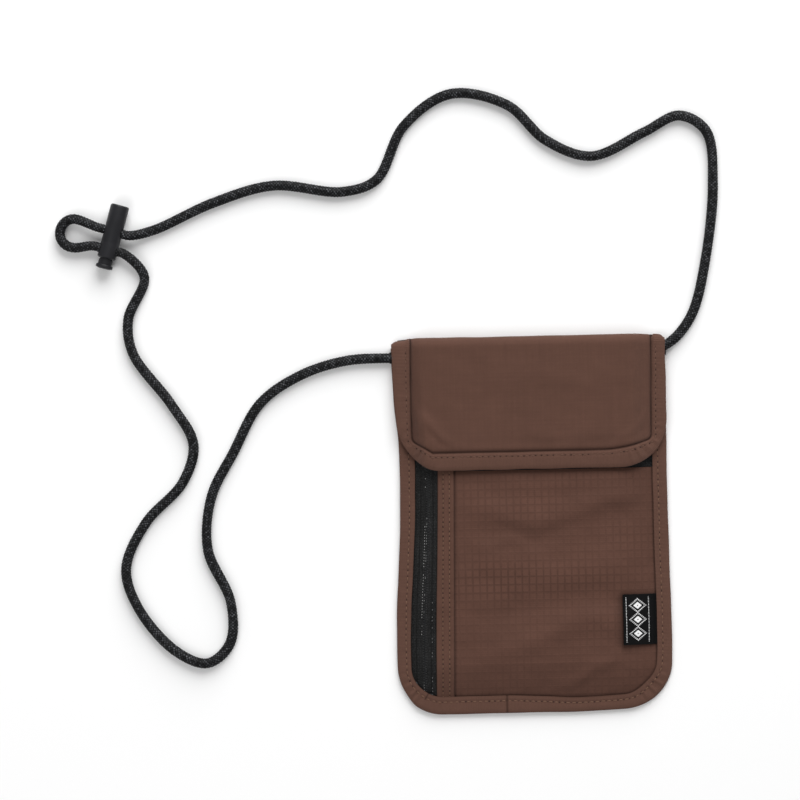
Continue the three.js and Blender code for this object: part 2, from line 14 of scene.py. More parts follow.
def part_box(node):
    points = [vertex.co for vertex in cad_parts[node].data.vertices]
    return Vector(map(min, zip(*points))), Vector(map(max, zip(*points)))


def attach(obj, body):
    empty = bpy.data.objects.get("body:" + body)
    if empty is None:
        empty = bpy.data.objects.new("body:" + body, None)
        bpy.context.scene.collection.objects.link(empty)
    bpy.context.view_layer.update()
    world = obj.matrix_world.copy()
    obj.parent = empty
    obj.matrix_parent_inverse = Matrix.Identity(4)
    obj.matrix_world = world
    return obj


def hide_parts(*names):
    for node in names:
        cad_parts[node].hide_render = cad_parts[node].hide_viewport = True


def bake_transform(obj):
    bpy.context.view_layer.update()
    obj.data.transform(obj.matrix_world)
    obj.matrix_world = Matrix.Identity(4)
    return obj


MM = 0.001
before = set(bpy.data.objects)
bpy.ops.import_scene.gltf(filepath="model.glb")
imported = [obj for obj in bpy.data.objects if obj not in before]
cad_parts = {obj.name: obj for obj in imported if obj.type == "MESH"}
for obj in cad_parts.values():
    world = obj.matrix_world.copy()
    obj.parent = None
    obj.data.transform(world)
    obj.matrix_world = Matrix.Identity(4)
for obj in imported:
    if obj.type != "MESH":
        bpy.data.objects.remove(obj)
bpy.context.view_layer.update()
rng = np.random.default_rng(7)


def box_mm(node):
    low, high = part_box(node)
    return np.array(low) / MM, np.array(high) / MM


# ---------------------------------------------------------------- sizes read from the frame

body_low, body_high = box_mm("body_binding")
flap_low, flap_high = box_mm("flap_binding")
skin_high = box_mm("front_pocket_panel")[1]
upper_low, upper_high = box_mm("upper_front_panel")
facing_low, facing_high = box_mm("zip_facing")
label_low, label_high = box_mm("label")
top_tape_low = box_mm("top_zip_tape_lower")[0]
top_upper_high = box_mm("top_zip_tape_upper")[1]
top_coil_low = box_mm("top_zip_coil_upper")[0]
fold_low = box_mm("flap_fold")[0]
coil_low, coil_high = box_mm("side_zip_coil_left")
coil_right_high = box_mm("side_zip_coil_right")[1]
pull_low = box_mm("side_pull")[0]
anchor_boxes = {side: box_mm(f"cord_anchor_{side}") for side in ("left", "right")}

HALF = body_high[0]
BOTTOM = body_low[1]
FOLD_Y = fold_low[1]
MOUTH_Y = upper_high[1]
FLAP_BOTTOM = flap_low[1]
EDGE_Z = body_high[2]
SKIN_Z = skin_high[2]
FRONT_EDGE_TOP = 2.5
FLAP_EDGE_TOP = 5.45
FLAP_TOP_Z = flap_high[2] - 0.55
CORNER = 25.0
BODY_TAPE = 7.8
FLAP_TAPE = 8.6
# how far the flap's side seams stand off the tape's width, from one height to another
SEAM_HEIGHTS = (45.0, 95.0)
SEAM_LEFT = (-1.2, 1.6)
SEAM_RIGHT = (0.3, 1.2)
SLOPE_END = 26.0
SIDE_ZIP_X = (coil_low[0] + coil_right_high[0]) / 2
TOP_ZIP_Y = (top_tape_low[1] + top_upper_high[1]) / 2
LABEL_MIDDLE_Y = (label_low[1] + label_high[1]) / 2

# ---------------------------------------------------------------- the cord's route

CORD_DIAMETER = 5.0
LOCK_CENTRE = np.array([-219.0, 154.6, 5.0])
LOCK_TILT = math.radians(-16)
HOLE_OFFSET = 5.05
LOCK_STRAIGHT = 8.6
LEFT_RUN = [
    (-72.7, 89.4), (-96, 88.5), (-120, 81.5), (-142, 67), (-157, 41), (-169, 18), (-171.5, -10),
    (-160, -38), (-161, -60), (-173, -70), (-190, -63), (-209, -40), (-215, -19), (-204, 5),
    (-184, 26), (-178, 46), (-189, 67), (-209, 95), (-211, 113), (-202, 135),
]
RIGHT_RUN = [
    (-196, 160), (-165, 173.5), (-133, 182), (-96, 178), (-78, 184), (-63, 212), (-38, 228.5),
    (-8, 222), (12, 203), (36, 194), (64, 206), (83, 214.5), (97, 206), (100, 178), (95, 137),
    (88, 110.5), (80, 98.6), (74.6, 94.2),
]
LEFT_TAIL = (-67.5, 89.4)
RIGHT_TAIL = (68.5, 91.2)
FREE_LOOP = {"x": -238.5, "y": 159.0, "radius": 7.6, "points": 6}

# ---------------------------------------------------------------- small helpers
UP = np.array([0, 0, 1.0])
ALONG_X = np.array([1.0, 0, 0])
ALONG_Y = np.array([0, 1.0, 0])


def bell(away, reach, aside=0.0, side_reach=1.0):
    """1 where both distances are 0, fading out smoothly beyond their reaches."""
    return np.exp(-((away / reach) ** 2) - (aside / side_reach) ** 2)
def smooth(t):
    t = np.clip(t, 0, 1)
    return t * t * (3 - 2 * t)


def srgb(red, green, blue):
    """A colour given as it shows, from 0 to 255, as the shader's linear values."""
    out = []
    for value in (red, green, blue):
        c = value / 255
        out.append(c / 12.92 if c <= 0.04045 else ((c + 0.055) / 1.055) ** 2.4)
    return (*out, 1.0)


def noise(x, y, scale, seed):
    """Smooth random field of sine waves, about -1 to 1, with features of about scale mm."""
    r = np.random.default_rng(seed)
    total = np.zeros_like(np.asarray(x, float) + np.asarray(y, float))
    for _ in range(7):
        angle = r.uniform(0, 2 * math.pi)
        k = 2 * math.pi / (scale * r.uniform(0.7, 1.8))
        total = total + np.sin(k * (x * math.cos(angle) + y * math.sin(angle)) + r.uniform(0, 6.3))
    return total / 3.5
def distances(line):
    """How far along a line each of its points lies."""
    return np.concatenate([[0], np.cumsum(np.linalg.norm(np.diff(line, axis=0), axis=1))])


def declare(obj, body, slot, *nodes):
    """Puts a piece on the body it rides on and hides the frame's nodes that it stands for. Its slot is not
    used.
    """
    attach(obj, body)
    if nodes:
        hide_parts(*nodes)


def float_attribute(mesh, name, values):
    layer = mesh.attributes.new(name, "FLOAT", "POINT")
    layer.data.foreach_set("value", np.asarray(values, np.float32).ravel())


def face_outwards(obj):
    bm = bmesh.new()
    bm.from_mesh(obj.data)
    bmesh.ops.recalc_face_normals(bm, faces=bm.faces)
    bm.to_mesh(obj.data)
    bm.free()
    return obj
def mesh_object(name, verts, faces, material, uv=None, dark=None):
    """An object from vertices in mm. uv is one (u, v) for each vertex, and dark its painted shade, from 0 to
    1.
    """
    mesh = bpy.data.meshes.new(name)
    mesh.from_pydata((np.asarray(verts, float) * MM).tolist(), [], faces)
    if uv is not None:
        layer = mesh.uv_layers.new(name="strip")
        loops = np.empty(len(mesh.loops), int)
        mesh.loops.foreach_get("vertex_index", loops)
        layer.data.foreach_set("uv", np.asarray(uv, np.float32)[loops].ravel())
    if dark is not None:
        float_attribute(mesh, "dark", dark)
    mesh.materials.append(material)
    mesh.polygons.foreach_set("use_smooth", [True] * len(mesh.polygons))
    mesh.update()
    mesh.set_sharp_from_angle(angle=math.radians(55))
    obj = bpy.data.objects.new(name, mesh)
    bpy.context.scene.collection.objects.link(obj)
    return obj


def join_meshes(name, parts, material):
    """One object from (verts, faces) pairs."""
    verts, faces, base = [], [], 0
    for part_verts, part_faces in parts:
        verts.append(np.asarray(part_verts, float))
        faces.extend([[i + base for i in face] for face in part_faces])
        base += len(part_verts)
    return mesh_object(name, np.vstack(verts), faces, material)


def shell_from_grid(name, top, thickness, material, dark=None):
    """A closed cloth shell from a grid of points [rows, columns, 3] on its upper face."""
    rows, columns = top.shape[:2]
    normal = np.cross(np.gradient(top, axis=1), np.gradient(top, axis=0))
    normal /= np.maximum(np.linalg.norm(normal, axis=2, keepdims=True), 1e-9)
    bottom = top - normal * thickness
    verts = np.vstack([top.reshape(-1, 3), bottom.reshape(-1, 3)])
    count = rows * columns
    index = np.arange(count).reshape(rows, columns)
    a, b = index[:-1, :-1].ravel(), index[:-1, 1:].ravel()
    c, d = index[1:, 1:].ravel(), index[1:, :-1].ravel()
    faces = np.stack([a, b, c, d], 1).tolist()
    faces += np.stack([d + count, c + count, b + count, a + count], 1).tolist()
    rim = list(index[0]) + list(index[1:, -1]) + list(index[-1, -2::-1]) + list(index[-2:0:-1, 0])
    for here, after in zip(rim, rim[1:] + rim[:1]):
        faces.append([int(after), int(here), int(here + count), int(after + count)])
    shades = None if dark is None else np.tile(dark.ravel(), 2)
    return mesh_object(name, verts, faces, material, dark=shades)


def sweep(name, rings, material, uv=None, dark=None):
    """A closed-section strip through rings [stations, points, 3], capped at both ends."""
    stations, points = rings.shape[:2]
    index = np.arange(stations * points).reshape(stations, points)
    after = np.roll(index, -1, axis=1)
    corners = [index[:-1].ravel(), after[:-1].ravel(), after[1:].ravel(), index[1:].ravel()]
    faces = np.stack(corners, 1).tolist()
    faces.append(index[0][::-1].tolist())
    faces.append(index[-1].tolist())
    flat_uv = None if uv is None else uv.reshape(-1, 2)
    shades = None if dark is None else dark.ravel()
    return mesh_object(name, rings.reshape(-1, 3), faces, material, flat_uv, shades)


# ---------------------------------------------------------------- materials


# the colour that painted shade darkens towards, in creases, grooves, laps and beside the label
PAINTED_SHADE_COLOUR = (0.12, 0.09, 0.08, 1)


class Nodes:
    """A short way to build a material's node tree."""

    def __init__(self, name, colour, roughness, metallic=0.0):
        self.material = bpy.data.materials.new(name)
        self.material.use_nodes = True
        self.tree = self.material.node_tree
        self.shader = self.tree.nodes["Principled BSDF"]
        self.fill(self.shader, {"Base Color": colour, "Roughness": roughness, "Metallic": metallic})
        self.coords = self.tree.nodes.new("ShaderNodeTexCoord").outputs

    def fill(self, node, inputs):
        """Sets a node's inputs, or links them to other nodes' outputs."""
        for name, value in inputs.items():
            if isinstance(value, bpy.types.NodeSocket):
                self.tree.links.new(value, node.inputs[name])
            else:
                node.inputs[name].default_value = value

    def node(self, kind, inputs, **settings):
        node = self.tree.nodes.new("ShaderNode" + kind)
        for name, value in settings.items():
            setattr(node, name, value)
        self.fill(node, inputs)
        return node

    def math(self, operation, a, b):
        return self.node("Math", {0: a, 1: b}, operation=operation).outputs[0]

    def times(self, a, b):
        return self.math("MULTIPLY", a, b)

    def total(self, *weighted):
        """The sum of outputs, each times its weight."""
        parts = [self.times(output, weight) for output, weight in weighted]
        whole = parts[0]
        for part in parts[1:]:
            whole = self.math("ADD", whole, part)
        return whole

    def wave(self, axis, pitch, uv=False, distortion=0.0):
        """A sine from 0 to 1 along an axis. pitch is in mm on objects and in UV units on strips."""
        scale = 2 * math.pi / (20 * pitch * (1.0 if uv else MM))
        inputs = {"Scale": scale, "Distortion": distortion, "Vector": self.coords["UV" if uv else "Object"]}
        bands = {"wave_type": "BANDS", "bands_direction": axis, "wave_profile": "SIN"}
        return self.node("TexWave", inputs, **bands).outputs["Fac"]

    def noise(self, size, detail=2.0, place=None):
        """Noise from 0 to 1 with features of about size mm."""
        place = place or self.coords["Object"]
        inputs = {"Scale": 1 / (size * MM), "Detail": detail, "Vector": place}
        return self.node("TexNoise", inputs).outputs["Fac"]

    def streaks(self, axis, size):
        """Uneven thicker yarns: noise from 0 to 1 that hardly changes along the other axis."""
        scale = (1, 0.03, 1) if axis == "X" else (0.03, 1, 1)
        place = self.node("Mapping", {"Scale": scale, "Vector": self.coords["Object"]})
        return self.noise(size, place=place.outputs["Vector"])

    def faded(self, size):
        """Soft patches from 0 to 1, where a pattern shows and where it is lost."""
        inputs = {"From Min": 0.36, "From Max": 0.62, "Value": self.noise(size)}
        return self.node("MapRange", inputs).outputs["Result"]

    def attribute(self, name):
        return self.node("Attribute", {}, attribute_name=name).outputs["Fac"]

    def colours(self, factor, low, high):
        """Mixes two colours, and darkens them with painted shade where the mesh's dark attribute says so: in
        seam creases, grooves, laps and beside the label.
        """
        plain = self.node("Mix", {0: factor, 6: low, 7: high}, data_type="RGBA").outputs[2]
        inputs = {0: self.attribute("dark"), 6: plain, 7: PAINTED_SHADE_COLOUR}
        with_painted_shade = self.node("Mix", inputs, data_type="RGBA", blend_type="MULTIPLY")
        self.fill(self.shader, {"Base Color": with_painted_shade.outputs[2]})

    def bump(self, height, strength, distance):
        inputs = {"Strength": strength, "Distance": distance * MM, "Height": height}
        self.fill(self.shader, {"Normal": self.node("Bump", inputs).outputs["Normal"]})

    def gloss(self, specular, sheen=0.0):
        self.fill(self.shader, {"Specular IOR Level": specular, "Sheen Weight": sheen})
        return self.material


def shade(colour, factor):
    return tuple(min(1.0, c * factor) for c in colour[:3]) + (1.0,)


FLAP_BROWN = srgb(86, 60, 50)
RIPSTOP_BROWN = srgb(84, 57, 47)
TAPE_BROWN = srgb(90, 64, 54)
THREAD_BROWN = srgb(112, 84, 68)
ZIP_BLACK = srgb(24, 24, 24)
CORD_BLACK = srgb(24, 24, 25)
LOCK_BLACK = srgb(32, 32, 35)
LABEL_BLACK = srgb(9, 9, 10)
LABEL_WHITE = srgb(240, 240, 240)
LINING_GREY = srgb(70, 71, 74)


def cloth_weave(name, colour, pitch, spread):
    """Plain weave: two crossed sets of yarns, some thicker than others, with soft unevenness of colour."""
    m = Nodes(name, colour, 0.85)
    yarns = m.times(m.wave("X", pitch), m.wave("Y", pitch * 1.1))
    slubs = m.times(m.streaks("X", 1.1), m.streaks("Y", 1.1))
    tone = m.total((m.noise(22), 0.45), (m.noise(0.8, 3), 0.3), (yarns, 0.2), (slubs, 0.75))
    m.colours(tone, shade(colour, 1 - spread), shade(colour, 1 + spread))
    m.bump(m.total((yarns, 1.0), (slubs, 1.2)), 0.6, 0.12)
    return m.gloss(0.14, sheen=0.06)


def ripstop():
    """Fine plain weave crossed every few millimetres by a thicker yarn, in a net of small cells."""
    m = Nodes("ripstop_nylon", RIPSTOP_BROWN, 0.75)
    yarns = m.times(m.wave("X", 0.55), m.wave("Y", 0.6))
    net_x = m.math("POWER", m.wave("X", 3.73), 5.0)
    net_y = m.math("POWER", m.wave("Y", 4.2), 5.0)
    net = m.math("MAXIMUM", net_x, m.times(net_y, 0.8))
    # the net attribute paints light: where light catches the net, its lines are painted darker and its cells
    # brighter
    lit_share = m.attribute("net")
    wear_and_painted_light = m.times(net, lit_share)
    cells = m.times(m.math("SUBTRACT", 1.0, net), m.times(lit_share, m.noise(2.4)))
    slubs = m.math("ADD", m.streaks("X", 0.9), m.streaks("Y", 0.9))
    ribs = m.times(m.wave("Y", 1.05, distortion=0.4), m.faded(12))
    weave = [(m.noise(16), 0.35), (m.noise(0.8, 3), 0.25), (yarns, 0.2), (slubs, 0.22)]
    tone = m.total(*weave, (ribs, 0.16), (cells, 1.1), (wear_and_painted_light, -0.3))
    m.colours(tone, shade(RIPSTOP_BROWN, 0.7), shade(RIPSTOP_BROWN, 1.2))
    m.bump(m.total((net, 1.0), (yarns, 0.3)), 0.5, 0.2)
    return m.gloss(0.16, sheen=0.06)


def grosgrain():
    """Ribbed tape: ribs across the strip, from its own length along u."""
    m = Nodes("binding_grosgrain", TAPE_BROWN, 0.88)
    ribs = m.wave("X", 0.75, uv=True)
    threads = m.wave("Y", 0.5, uv=True)
    tone = m.total((m.noise(9), 0.5), (m.noise(0.6, 3), 0.45), (ribs, 0.22))
    m.colours(tone, shade(TAPE_BROWN, 0.82), shade(TAPE_BROWN, 1.18))
    m.bump(m.total((ribs, 1.0), (threads, 0.3)), 0.5, 0.18)
    return m.gloss(0.12, sheen=0.08)


def zip_weave():
    """Black tape woven in fine ribs along its length, with paler flecks."""
    m = Nodes("zip_tape_weave", ZIP_BLACK, 0.75)
    weave = m.times(m.wave("X", 1.3), m.wave("Y", 1.45))
    flecks = m.math("POWER", m.noise(0.55, 3), 4.0)
    streaks = m.times(m.math("POWER", m.streaks("X", 0.7), 2.0), m.faded(14))
    tone = m.total((weave, 0.1), (flecks, 2.4), (streaks, 0.3))
    m.colours(tone, shade(ZIP_BLACK, 0.15), shade(ZIP_BLACK, 5.0))
    m.bump(weave, 0.7, 0.22)
    return m.gloss(0.16)


def braid():
    """Black polyester yarn, dark between the strands, with painted highlights in its colour where the
    strands' crowns catch the light.
    """
    m = Nodes("cord_yarn", CORD_BLACK, 0.5)
    fibres = m.noise(0.5, 3)
    # glints: painted highlights, the crown attribute brightens the colour on the strands' crowns
    glints = m.math("POWER", m.attribute("crown"), 4.0)
    tone = m.times(glints, m.math("ADD", m.times(fibres, 2.4), -0.4))
    m.colours(tone, srgb(6, 6, 7), srgb(136, 138, 143))
    m.bump(fibres, 0.35, 0.08)
    return m.gloss(0.12)


def moulded_plastic(name, colour, roughness):
    """Moulded plastic with a faint grain and a little unevenness in its gloss."""
    m = Nodes(name, colour, roughness)
    blotches = m.noise(5)
    m.fill(m.shader, {"Roughness": m.math("ADD", m.times(blotches, 0.18), roughness - 0.09)})
    m.colours(blotches, shade(colour, 0.85), shade(colour, 1.15))
    m.bump(m.noise(0.25), 0.25, 0.03)
    return m.gloss(0.24)


def painted_metal():
    m = Nodes("black_painted_metal", srgb(30, 30, 31), 0.42, 0.2)
    wear_and_painted_light = m.noise(1.6, 3)
    m.fill(m.shader, {"Roughness": m.math("ADD", m.times(wear_and_painted_light, 0.2), 0.32)})
    m.colours(wear_and_painted_light, srgb(22, 22, 23), srgb(42, 42, 43))
    m.bump(m.noise(0.3), 0.2, 0.03)
    return m.gloss(0.4)


def spring_steel():
    m = Nodes("spring_wire", srgb(170, 170, 168), 0.3, 1.0)
    m.bump(m.noise(0.3), 0.2, 0.02)
    m.colours(m.noise(1.2), srgb(150, 150, 148), srgb(185, 185, 182))
    return m.material


def pile(name, colour, size, height):
    """Hook or loop pile: a dense field of small bumps."""
    m = Nodes(name, colour, 0.95)
    cells = m.node("TexVoronoi", {"Scale": 1 / (size * 1.4 * MM), "Vector": m.coords["Object"]})
    tone = m.total((m.noise(size, 4), 1.3), (cells.outputs[0], -0.4))
    m.colours(tone, shade(colour, 0.5), shade(colour, 1.7))
    m.bump(tone, 0.9, height)
    return m.gloss(0.15, sheen=0.1)


def thread(name, colour):
    m = Nodes(name, colour, 0.7)
    fibres = m.noise(0.25, 3)
    m.colours(fibres, shade(colour, 0.8), shade(colour, 1.2))
    m.bump(fibres, 0.4, 0.05)
    return m.gloss(0.2)


def foil():
    m = Nodes("shield_foil", srgb(154, 156, 158), 0.45, 0.5)
    creases = m.noise(3, 3)
    m.colours(creases, srgb(135, 137, 139), srgb(170, 172, 174))
    m.bump(creases, 0.4, 0.2)
    return m.material
def label_material():
    """Black satin-woven tape, fine ribs across."""
    m = Nodes("label_weave_black", LABEL_BLACK, 0.7)
    ribs = m.wave("Y", 0.35)
    tone = m.times(ribs, m.wave("X", 0.5))
    m.colours(tone, shade(LABEL_BLACK, 0.75), shade(LABEL_BLACK, 1.5))
    m.bump(ribs, 0.4, 0.08)
    return m.gloss(0.12)
FLAP_CLOTH = cloth_weave("plain_weave_brown", FLAP_BROWN, 0.5, 0.2)
RIPSTOP_CLOTH = ripstop()
TAPE_CLOTH = grosgrain()
LINING_CLOTH = cloth_weave("lining_weave", LINING_GREY, 0.45, 0.08)
ZIP_CLOTH = zip_weave()
CORD_YARN = braid()
LOCK_PLASTIC = moulded_plastic("lock_moulding", LOCK_BLACK, 0.42)
COIL_NYLON = moulded_plastic("zip_coil_nylon", srgb(46, 46, 47), 0.45)
METAL = painted_metal()
STEEL = spring_steel()
LOOP_PILE = pile("loop_pile_black", srgb(32, 32, 33), 0.9, 0.5)
HOOK_PILE = pile("hook_pile_black", srgb(38, 38, 39), 0.6, 0.35)
BROWN_THREAD = thread("brown_thread", THREAD_BROWN)
FLAP_THREAD = thread("flap_thread", srgb(98, 72, 60))
NEEDLE_HOLE_SHADE = thread("needle_hole_shade", srgb(54, 36, 30))
BLACK_THREAD = thread("black_thread", srgb(40, 40, 41))
PAINTED_COIL_GLINT = thread("painted_coil_glint", srgb(170, 170, 168))
PAINTED_TAPE_GLINT = thread("painted_tape_glint", srgb(110, 110, 110))
WHITE_THREAD = thread("white_thread", LABEL_WHITE)
SHIELD_FOIL = foil()
LABEL_WEAVE = label_material()
PANEL_CLOTHS = {
    "plain_weave": FLAP_CLOTH, "ripstop_fabric": RIPSTOP_CLOTH, "zip_tape": ZIP_CLOTH,
    "grey_lining": LINING_CLOTH, "shield_foil": SHIELD_FOIL,
}

# ---------------------------------------------------------------- camera, light and floor

VIEW_CENTRE = (-68.1, 67.1)
VIEW_WIDTH = 423.2
VIEW_ROLL = math.radians(-1.25)
CAMERA_HEIGHT = 1500.0
MIDDLE_HEIGHT = 4.0
SENSOR = 36.0
FLOOR_HALF = 3000.0
DAYLIGHT = 0.33


def add_camera():
    data = bpy.data.cameras.new("camera")
    data.sensor_width = SENSOR
    data.lens = SENSOR * (CAMERA_HEIGHT - MIDDLE_HEIGHT) / VIEW_WIDTH
    data.clip_end = 20
    camera = bpy.data.objects.new("camera", data)
    camera.location = (VIEW_CENTRE[0] * MM, VIEW_CENTRE[1] * MM, CAMERA_HEIGHT * MM)
    camera.rotation_euler = (0, 0, VIEW_ROLL)
    bpy.context.scene.collection.objects.link(camera)
    bpy.context.scene.camera = camera


def add_area_light(name, place, size, power):
    """A round lamp that points at the origin, with its place and size in metres."""
    data = bpy.data.lights.new(name, "AREA")
    data.shape = "DISK"
    data.size = size
    data.energy = power
    light = bpy.data.objects.new(name, data)
    light.location = place
    light.rotation_euler = (-Vector(place)).to_track_quat("-Z", "Y").to_euler()
    bpy.context.scene.collection.objects.link(light)


def add_floor_and_light():
    m = Nodes("floor_white", (0.95, 0.95, 0.95, 1), 0.9)
    m.colours(m.noise(400), (0.945, 0.945, 0.945, 1), (0.955, 0.955, 0.955, 1))
    corners = [(x * FLOOR_HALF, y * FLOOR_HALF, 0) for x, y in ((-1, -1), (1, -1), (1, 1), (-1, 1))]
    mesh_object("floor", corners, [[0, 1, 2, 3]], m.material)
    world = bpy.data.worlds.new("studio")
    bpy.context.scene.world = world
    world.use_nodes = True
    background = world.node_tree.nodes["Background"]
    background.inputs["Color"].default_value = (1, 1, 1, 1)
    background.inputs["Strength"].default_value = DAYLIGHT
    add_area_light("key", (0.4, 1.9, 1.2), 2.3, 68)
    add_area_light("fill", (-0.9, -0.9, 1.7), 1.6, 13)
    view = bpy.context.scene.view_settings
    view.view_transform = "Standard"
    view.look = "None"


add_camera()
add_floor_and_light()

# ---------------------------------------------------------------- neck cord
STRANDS = 8
BRAID_LEAD = 13.0
BRAID_RELIEF = 0.62
CORD_SIDES = 40
CORD_FLOOR = 0.05


def lock_point(along, across):
    """A point of the lock's own plane, in the row's frame."""
    cos, sin = math.cos(LOCK_TILT), math.sin(LOCK_TILT)
    x = across * cos - along * sin
    y = across * sin + along * cos
    return LOCK_CENTRE + np.array([x, y, 0])


def cord_points():
    radius = CORD_DIAMETER / 2
    left = [(x, y, radius) for x, y in [LEFT_TAIL, *LEFT_RUN]]
    right = [(x, y, radius) for x, y in [*RIGHT_RUN, RIGHT_TAIL]]
    loop = []
    for i in range(FREE_LOOP["points"]):
        turn = -math.pi / 2 - math.pi * i / (FREE_LOOP["points"] - 1)
        x = FREE_LOOP["x"] + FREE_LOOP["radius"] * math.cos(turn)
        y = FREE_LOOP["y"] + FREE_LOOP["radius"] * math.sin(turn)
        loop.append((x, y, (radius + LOCK_CENTRE[2]) / 2))
    shares = (1, 0.33, -0.33, -1)
    down = [tuple(lock_point(-HOLE_OFFSET, share * LOCK_STRAIGHT)) for share in shares]
    back = [tuple(lock_point(HOLE_OFFSET, -share * LOCK_STRAIGHT)) for share in shares]
    return np.array(left + down + loop + back + right, float)


def centripetal(points, per_span=24):
    """A centripetal Catmull-Rom curve through points."""
    ends = np.vstack([2 * points[0] - points[1], points, 2 * points[-1] - points[-2]])
    out = []
    for p0, p1, p2, p3 in zip(ends, ends[1:], ends[2:], ends[3:]):
        d1, d2, d3 = (max(np.linalg.norm(b - a) ** 0.5, 1e-4) for a, b in ((p0, p1), (p1, p2), (p2, p3)))
        m1 = ((p1 - p0) / d1 - (p2 - p0) / (d1 + d2) + (p2 - p1) / d2) * d2
        m2 = ((p2 - p1) / d2 - (p3 - p1) / (d2 + d3) + (p3 - p2) / d3) * d2
        for u in np.arange(per_span) / per_span:
            out.append(
                (2 * u**3 - 3 * u**2 + 1) * p1
                + (u**3 - 2 * u**2 + u) * m1
                + (3 * u**2 - 2 * u**3) * p2
                + (u**3 - u**2) * m2
            )
    out.append(points[-1])
    return np.array(out)


def even_steps(line, step):
    """The same line in even steps."""
    lengths = distances(line)
    at = np.linspace(0, lengths[-1], int(lengths[-1] / step) + 1)
    return np.stack([np.interp(at, lengths, line[:, k]) for k in range(3)], 1), at


def add_cord():
    line, at = even_steps(centripetal(cord_points()), 0.45)
    length = at[-1]
    tangent = np.gradient(line, axis=0)
    tangent /= np.linalg.norm(tangent, axis=1, keepdims=True)
    side = np.cross(UP, tangent)
    side /= np.linalg.norm(side, axis=1, keepdims=True)
    up = np.cross(tangent, side)
    # flattened where it is sewn into the seams, and drawn a little thinner by the lock
    sewn = 1 - smooth(np.minimum(at, length - at) / 3.5)
    squeeze = bell(np.linalg.norm(line - LOCK_CENTRE, axis=1), 15)
    soft = noise(at, at * 0, 45, 3)
    wide = CORD_DIAMETER / 2 * (1.02 + 0.03 * soft + 0.1 * sewn - 0.12 * squeeze)
    high = CORD_DIAMETER / 2 * (1.02 - 0.03 * soft - 0.4 * sewn - 0.12 * squeeze)
    theta = 2 * math.pi * np.arange(CORD_SIDES) / CORD_SIDES
    # the two crossing sets of strands, counted round and along the cord
    a = STRANDS * theta[None, :] / (2 * math.pi) + STRANDS * at[:, None] / BRAID_LEAD
    b = STRANDS * theta[None, :] / (2 * math.pi) - STRANDS * at[:, None] / BRAID_LEAD
    over = (np.floor(a) + np.floor(b)) % 2
    crown_a = np.sin(math.pi * (a % 1)) ** 0.8
    crown_b = np.sin(math.pi * (b % 1)) ** 0.8
    crown = np.where(over > 0, crown_a * (0.55 + 0.45 * crown_b), crown_b * (0.55 + 0.45 * crown_a))
    lift = BRAID_RELIEF * (crown - 0.65)
    ring = (
        line[:, None, :]
        + side[:, None, :] * ((wide[:, None] + lift) * np.cos(theta)[None, :])[..., None]
        + up[:, None, :] * ((high[:, None] + lift) * np.sin(theta)[None, :])[..., None]
    )
    lowest = ring[..., 2].min(axis=1)
    ring[..., 2] -= (lowest * (lowest < CORD_FLOOR))[:, None]
    cord = sweep("neck_cord_braid", ring, CORD_YARN)
    # painted highlights: how brightly each crown's glint is painted, a little different in each braid cell
    cell = np.sin(np.floor(a) * 12.99 + np.floor(b) * 78.23) * 43758.5
    cell -= np.floor(cell)
    shine = crown * (0.55 + 0.45 * cell)
    float_attribute(cord.data, "crown", shine)
    declare(cord, "pouch", "cord_braid", "neck_cord")
    return cord, line, length


cord_piece, cord_line, cord_length = add_cord()

# ---------------------------------------------------------------- cord lock
LOCK_HOLE_RADIUS = 2.85
BORE_RADIUS = 3.9
BORE_HIGH = 16.3
PLUNGER_TRAVEL = 3.0


def boolean_cut(obj, cutter):
    modifier = obj.modifiers.new("cut", "BOOLEAN")
    modifier.operation = "DIFFERENCE"
    modifier.solver = "EXACT"
    modifier.object = cutter
    bpy.context.view_layer.update()
    shape = obj.evaluated_get(bpy.context.evaluated_depsgraph_get())
    mesh = bpy.data.meshes.new_from_object(shape)
    obj.modifiers.clear()
    obj.data = mesh
    bpy.data.objects.remove(cutter)


def lathe(name, profile, material, sides=64):
    """A solid turned about +Y from a profile of (radius, y), first and last points on the axis."""
    verts, faces = [], []
    inner = profile[1:-1]
    for radius, y in inner:
        for i in range(sides):
            turn = 2 * math.pi * i / sides
            verts.append((radius * math.cos(turn), y, radius * math.sin(turn)))
    for k in range(len(inner) - 1):
        for i in range(sides):
            j = (i + 1) % sides
            faces.append([k * sides + i, (k + 1) * sides + i, (k + 1) * sides + j, k * sides + j])
    faces.append(list(range(sides)))
    last = (len(inner) - 1) * sides
    faces.append([last + i for i in reversed(range(sides))])
    return face_outwards(mesh_object(name, verts, faces, material))


def place_on_lock(obj):
    """Moves a lock piece to its place on the cord and sharpens its edges again."""
    obj.data.transform(Matrix.Translation(Vector(LOCK_CENTRE * MM)) @ Matrix.Rotation(LOCK_TILT, 4, "Z"))
    obj.data.set_sharp_from_angle(angle=math.radians(32))


def cross_hole(y, travel=0.0):
    """A hole's cutter across the lock, stretched downwards by the plunger's travel."""
    steps, reach = 40, 12.0
    loop = []
    for i in range(steps):
        turn = 2 * math.pi * i / steps
        shift = -travel if math.sin(turn) < 0 else 0.0
        loop.append((y + shift + LOCK_HOLE_RADIUS * math.sin(turn), LOCK_HOLE_RADIUS * math.cos(turn)))
    rings = np.array([[(x, a, b) for a, b in loop] for x in (-reach, reach)])
    return face_outwards(sweep("cutter", rings, LOCK_PLASTIC))


